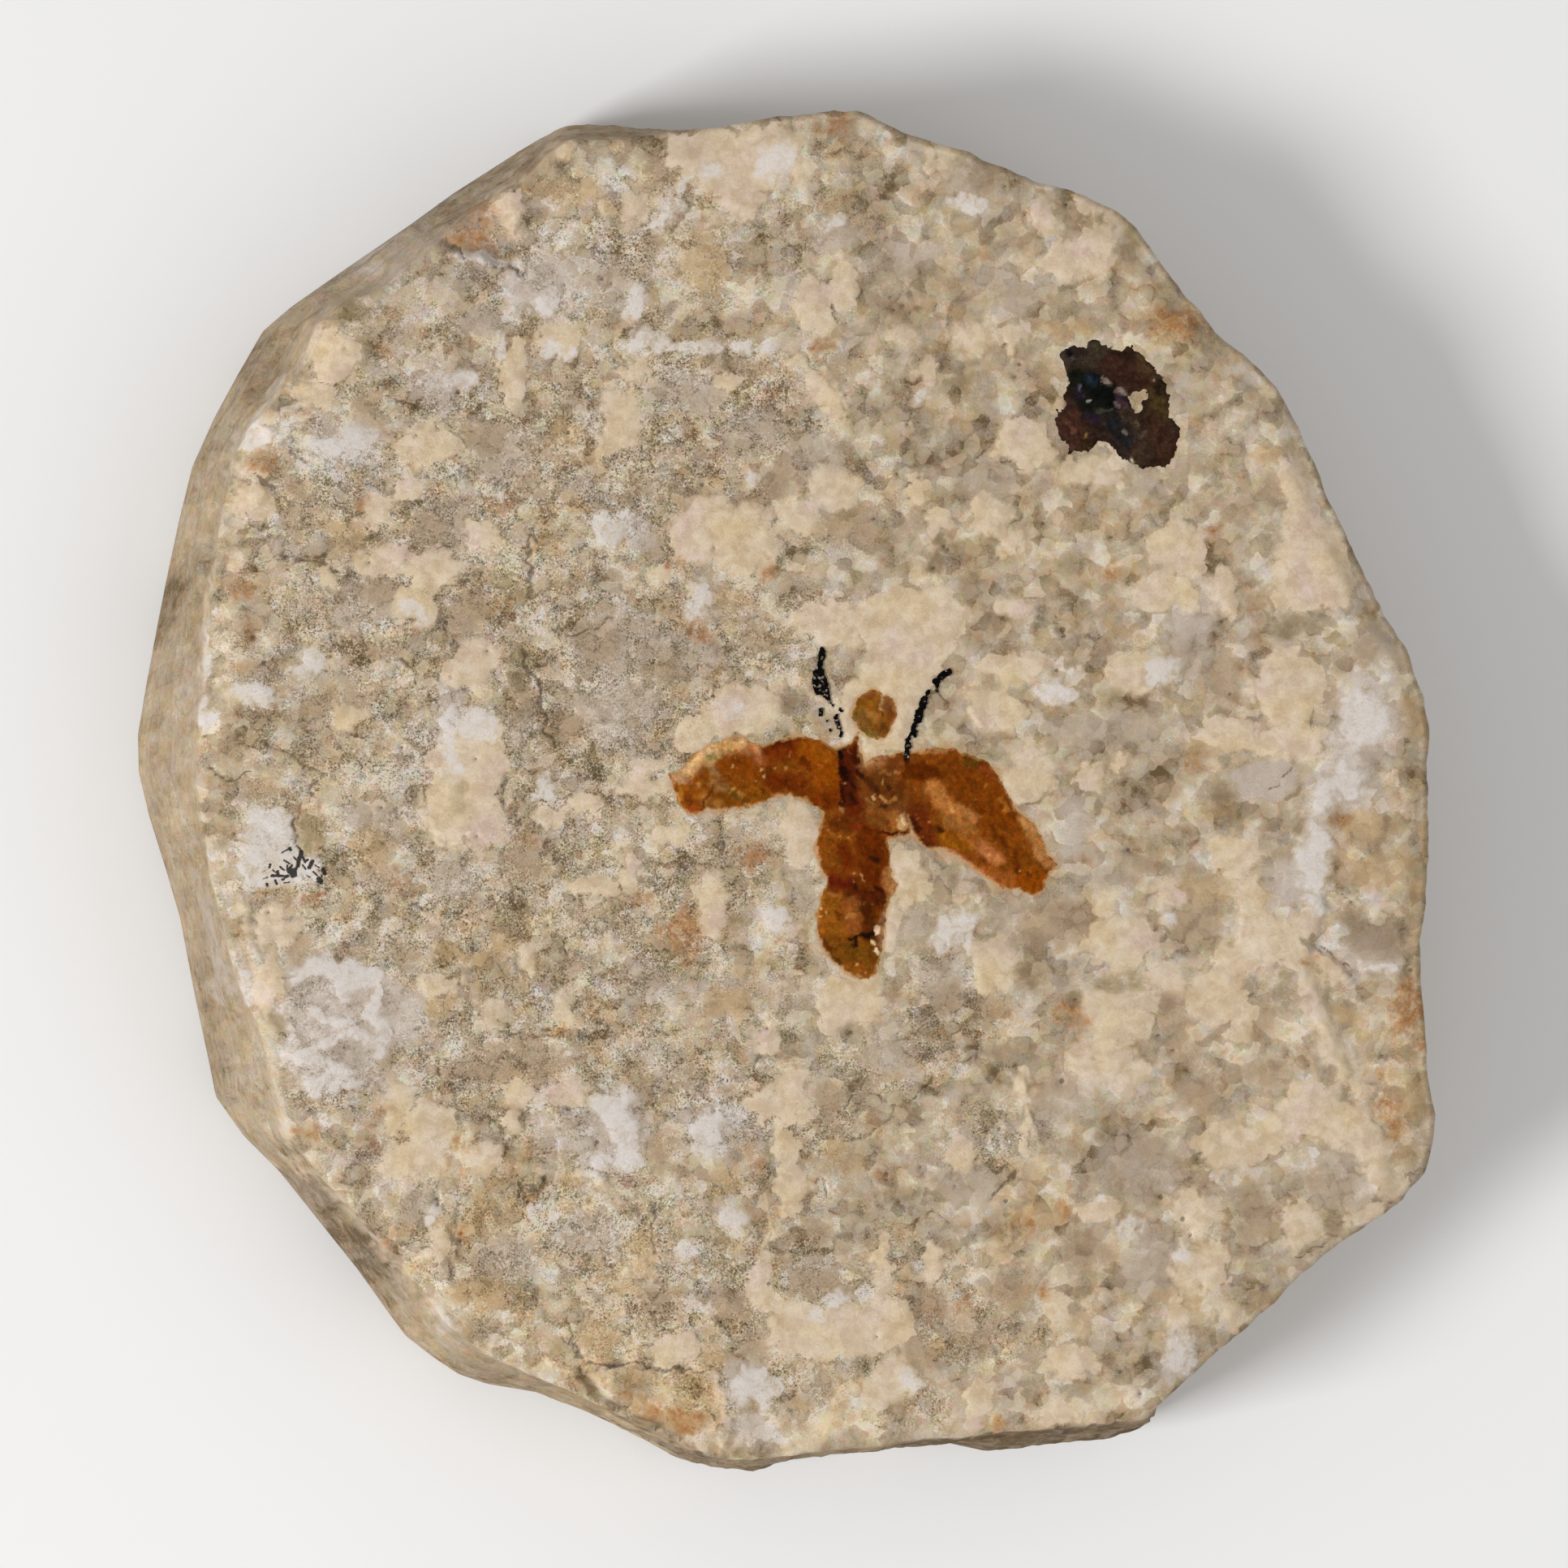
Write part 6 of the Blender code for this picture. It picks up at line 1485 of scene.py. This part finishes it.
def film(name, mottle, bare, bare_tone, share=0.04):
    """A thin mineral film in its painted colours, mottled, with stone grains showing through."""
    finish = Finish(name)
    pushed = finish.bend(3.0, 0.3)
    colour = finish.kept("paint", "Color")
    chips = finish.cells(3.6, finish.bend(7.0, 0.25))[1]
    blotch = finish.step(finish.noise(3.6, 4, 0.65, where=pushed), 0.34, 0.66, 1 - mottle, 1 + mottle)
    fine = finish.step(finish.noise(14, 3, 0.7), 0.36, 0.64, 1 - mottle * 0.5, 1 + mottle * 0.5)
    shade = finish.times(blotch, finish.scaled(chips[0], mottle * 1.5, 1 - mottle * 0.75))
    colour = finish.blend(1.0, colour, finish.times(shade, fine), "MULTIPLY")
    hue = finish.scaled(chips[1], 0.12, -0.06)
    hue = finish.maths("ADD", hue, finish.noise(5.0, 3, 0.6, where=finish.mapped(shift=(3, 9, 5))))
    hue_tint = finish.ramp(hue, [(0.34, "#ffe6da"), (0.66, "#f2ffe4"), (0.5, "#fffcf8")])
    colour = finish.blend(1.0, colour, hue_tint, "MULTIPLY")
    grains = finish.cells(10.0, finish.bend(9.0, 0.15))[1]
    bare = finish.step(finish.noise(1.6, 2), 0.54 - 2 * share, 0.70 - 2 * share, 0, bare)
    colour = finish.blend(finish.step(grains[0], 1 - share, 1.0, 0, bare), colour, tone(bare_tone))
    finish.join(colour, finish.shader.inputs["Base Color"])
    finish.join(finish.step(blotch, 1 - mottle, 1 + mottle, 0.68, 0.50), finish.shader.inputs["Roughness"])
    finish.shader.inputs["Specular IOR Level"].default_value = 0.02
    finish.bump(finish.scaled(fine, 0.4, blotch), 0.00004, 0.7)
    return finish.material


def floor_material():
    finish = Finish("pale_floor")
    shade = finish.step(finish.noise(0.004, 3), 0.3, 0.7, 0.80, 0.83)
    finish.join(finish.blend(1.0, (1, 1, 1), shade, "MULTIPLY"), finish.shader.inputs["Base Color"])
    finish.shader.inputs["Roughness"].default_value = 0.9
    return finish.material


def dress(piece, node):
    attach(piece, "root")
    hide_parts(node)


def set_stage():
    """A pale floor, soft light from the left, and the camera of the picture."""
    mesh = bmesh.new()
    bmesh.ops.create_grid(mesh, x_segments=8, y_segments=8, size=1.2,
                          matrix=Matrix.Translation((0, 0, -0.00005)))
    make_object("floor", mesh, floor_material())

    world = bpy.data.worlds.new("studio")
    world.use_nodes = True
    world.node_tree.nodes["Background"].inputs["Color"].default_value = (1.0, 0.99, 0.98, 1)
    world.node_tree.nodes["Background"].inputs["Strength"].default_value = 0.50
    bpy.context.scene.world = world
    for name, across, up, high, size, power in (("key", -0.62, -0.22, 0.50, 0.24, 5.2),
                                                ("fill", 0.50, -0.25, 0.70, 0.60, 1.0)):
        light = bpy.data.lights.new(name, "AREA")
        light.size = size
        light.energy = power
        holder = bpy.data.objects.new(name, light)
        holder.location = (across, up, high)
        holder.rotation_euler = (-Vector(holder.location)).to_track_quat("-Z", "Y").to_euler()
        bpy.context.collection.objects.link(holder)

    lens = bpy.data.cameras.new("picture")
    lens.sensor_width = 36
    lens.lens = 36 * EYE_DISTANCE / (PICTURE_SIZE * PIXEL)
    holder = bpy.data.objects.new("picture", lens)
    turn = Matrix((PICTURE_RIGHT, PICTURE_UP, TOWARDS_EYE)).transposed().to_4x4()
    holder.matrix_world = Matrix.Translation(EYE) @ turn
    bpy.context.collection.objects.link(holder)
    bpy.context.scene.camera = holder
    bpy.context.scene.view_settings.view_transform = "Standard"


def main():
    set_stage()
    dress(make_slab(limestone()), "slab")

    brown = film("brown_film", 0.22, 0.20, "#b98850")
    fly = make_film("fly_film", "fly", FLY_CELL, fly_depth, fly_rise, brown)
    paint(fly.data, "#7a400c", FLY_PAINT, fly_depth)
    dress(fly, "fly")
    head = make_film("head_film", "fly_head", FLY_CELL, head_depth, head_rise, brown)
    paint(head.data, "#7a4d18", HEAD_PAINT, head_depth, 0.35)
    dress(head, "fly_head")

    black = film("black_film", 0.35, 0.7, "#9c9080", 0.13)
    for side, strokes in (("left", LEFT_ANTENNA), ("right", RIGHT_ANTENNA)):
        antenna = make_film(side + "_antenna_film", side + "_antenna", ANTENNA_CELL, antenna_depth(strokes),
                            antenna_rise, black)
        paint(antenna.data, "#0b0a09", [])
        dress(antenna, side + "_antenna")

    flake = make_film("dark_flake_film", "dark_flake", FLAKE_CELL, flake_depth, flake_rise,
                      film("flake_film", 0.30, 0.2, "#6a6058"))
    paint(flake.data, "#2a1e18", FLAKE_PAINT)
    dress(flake, "dark_flake")


main()
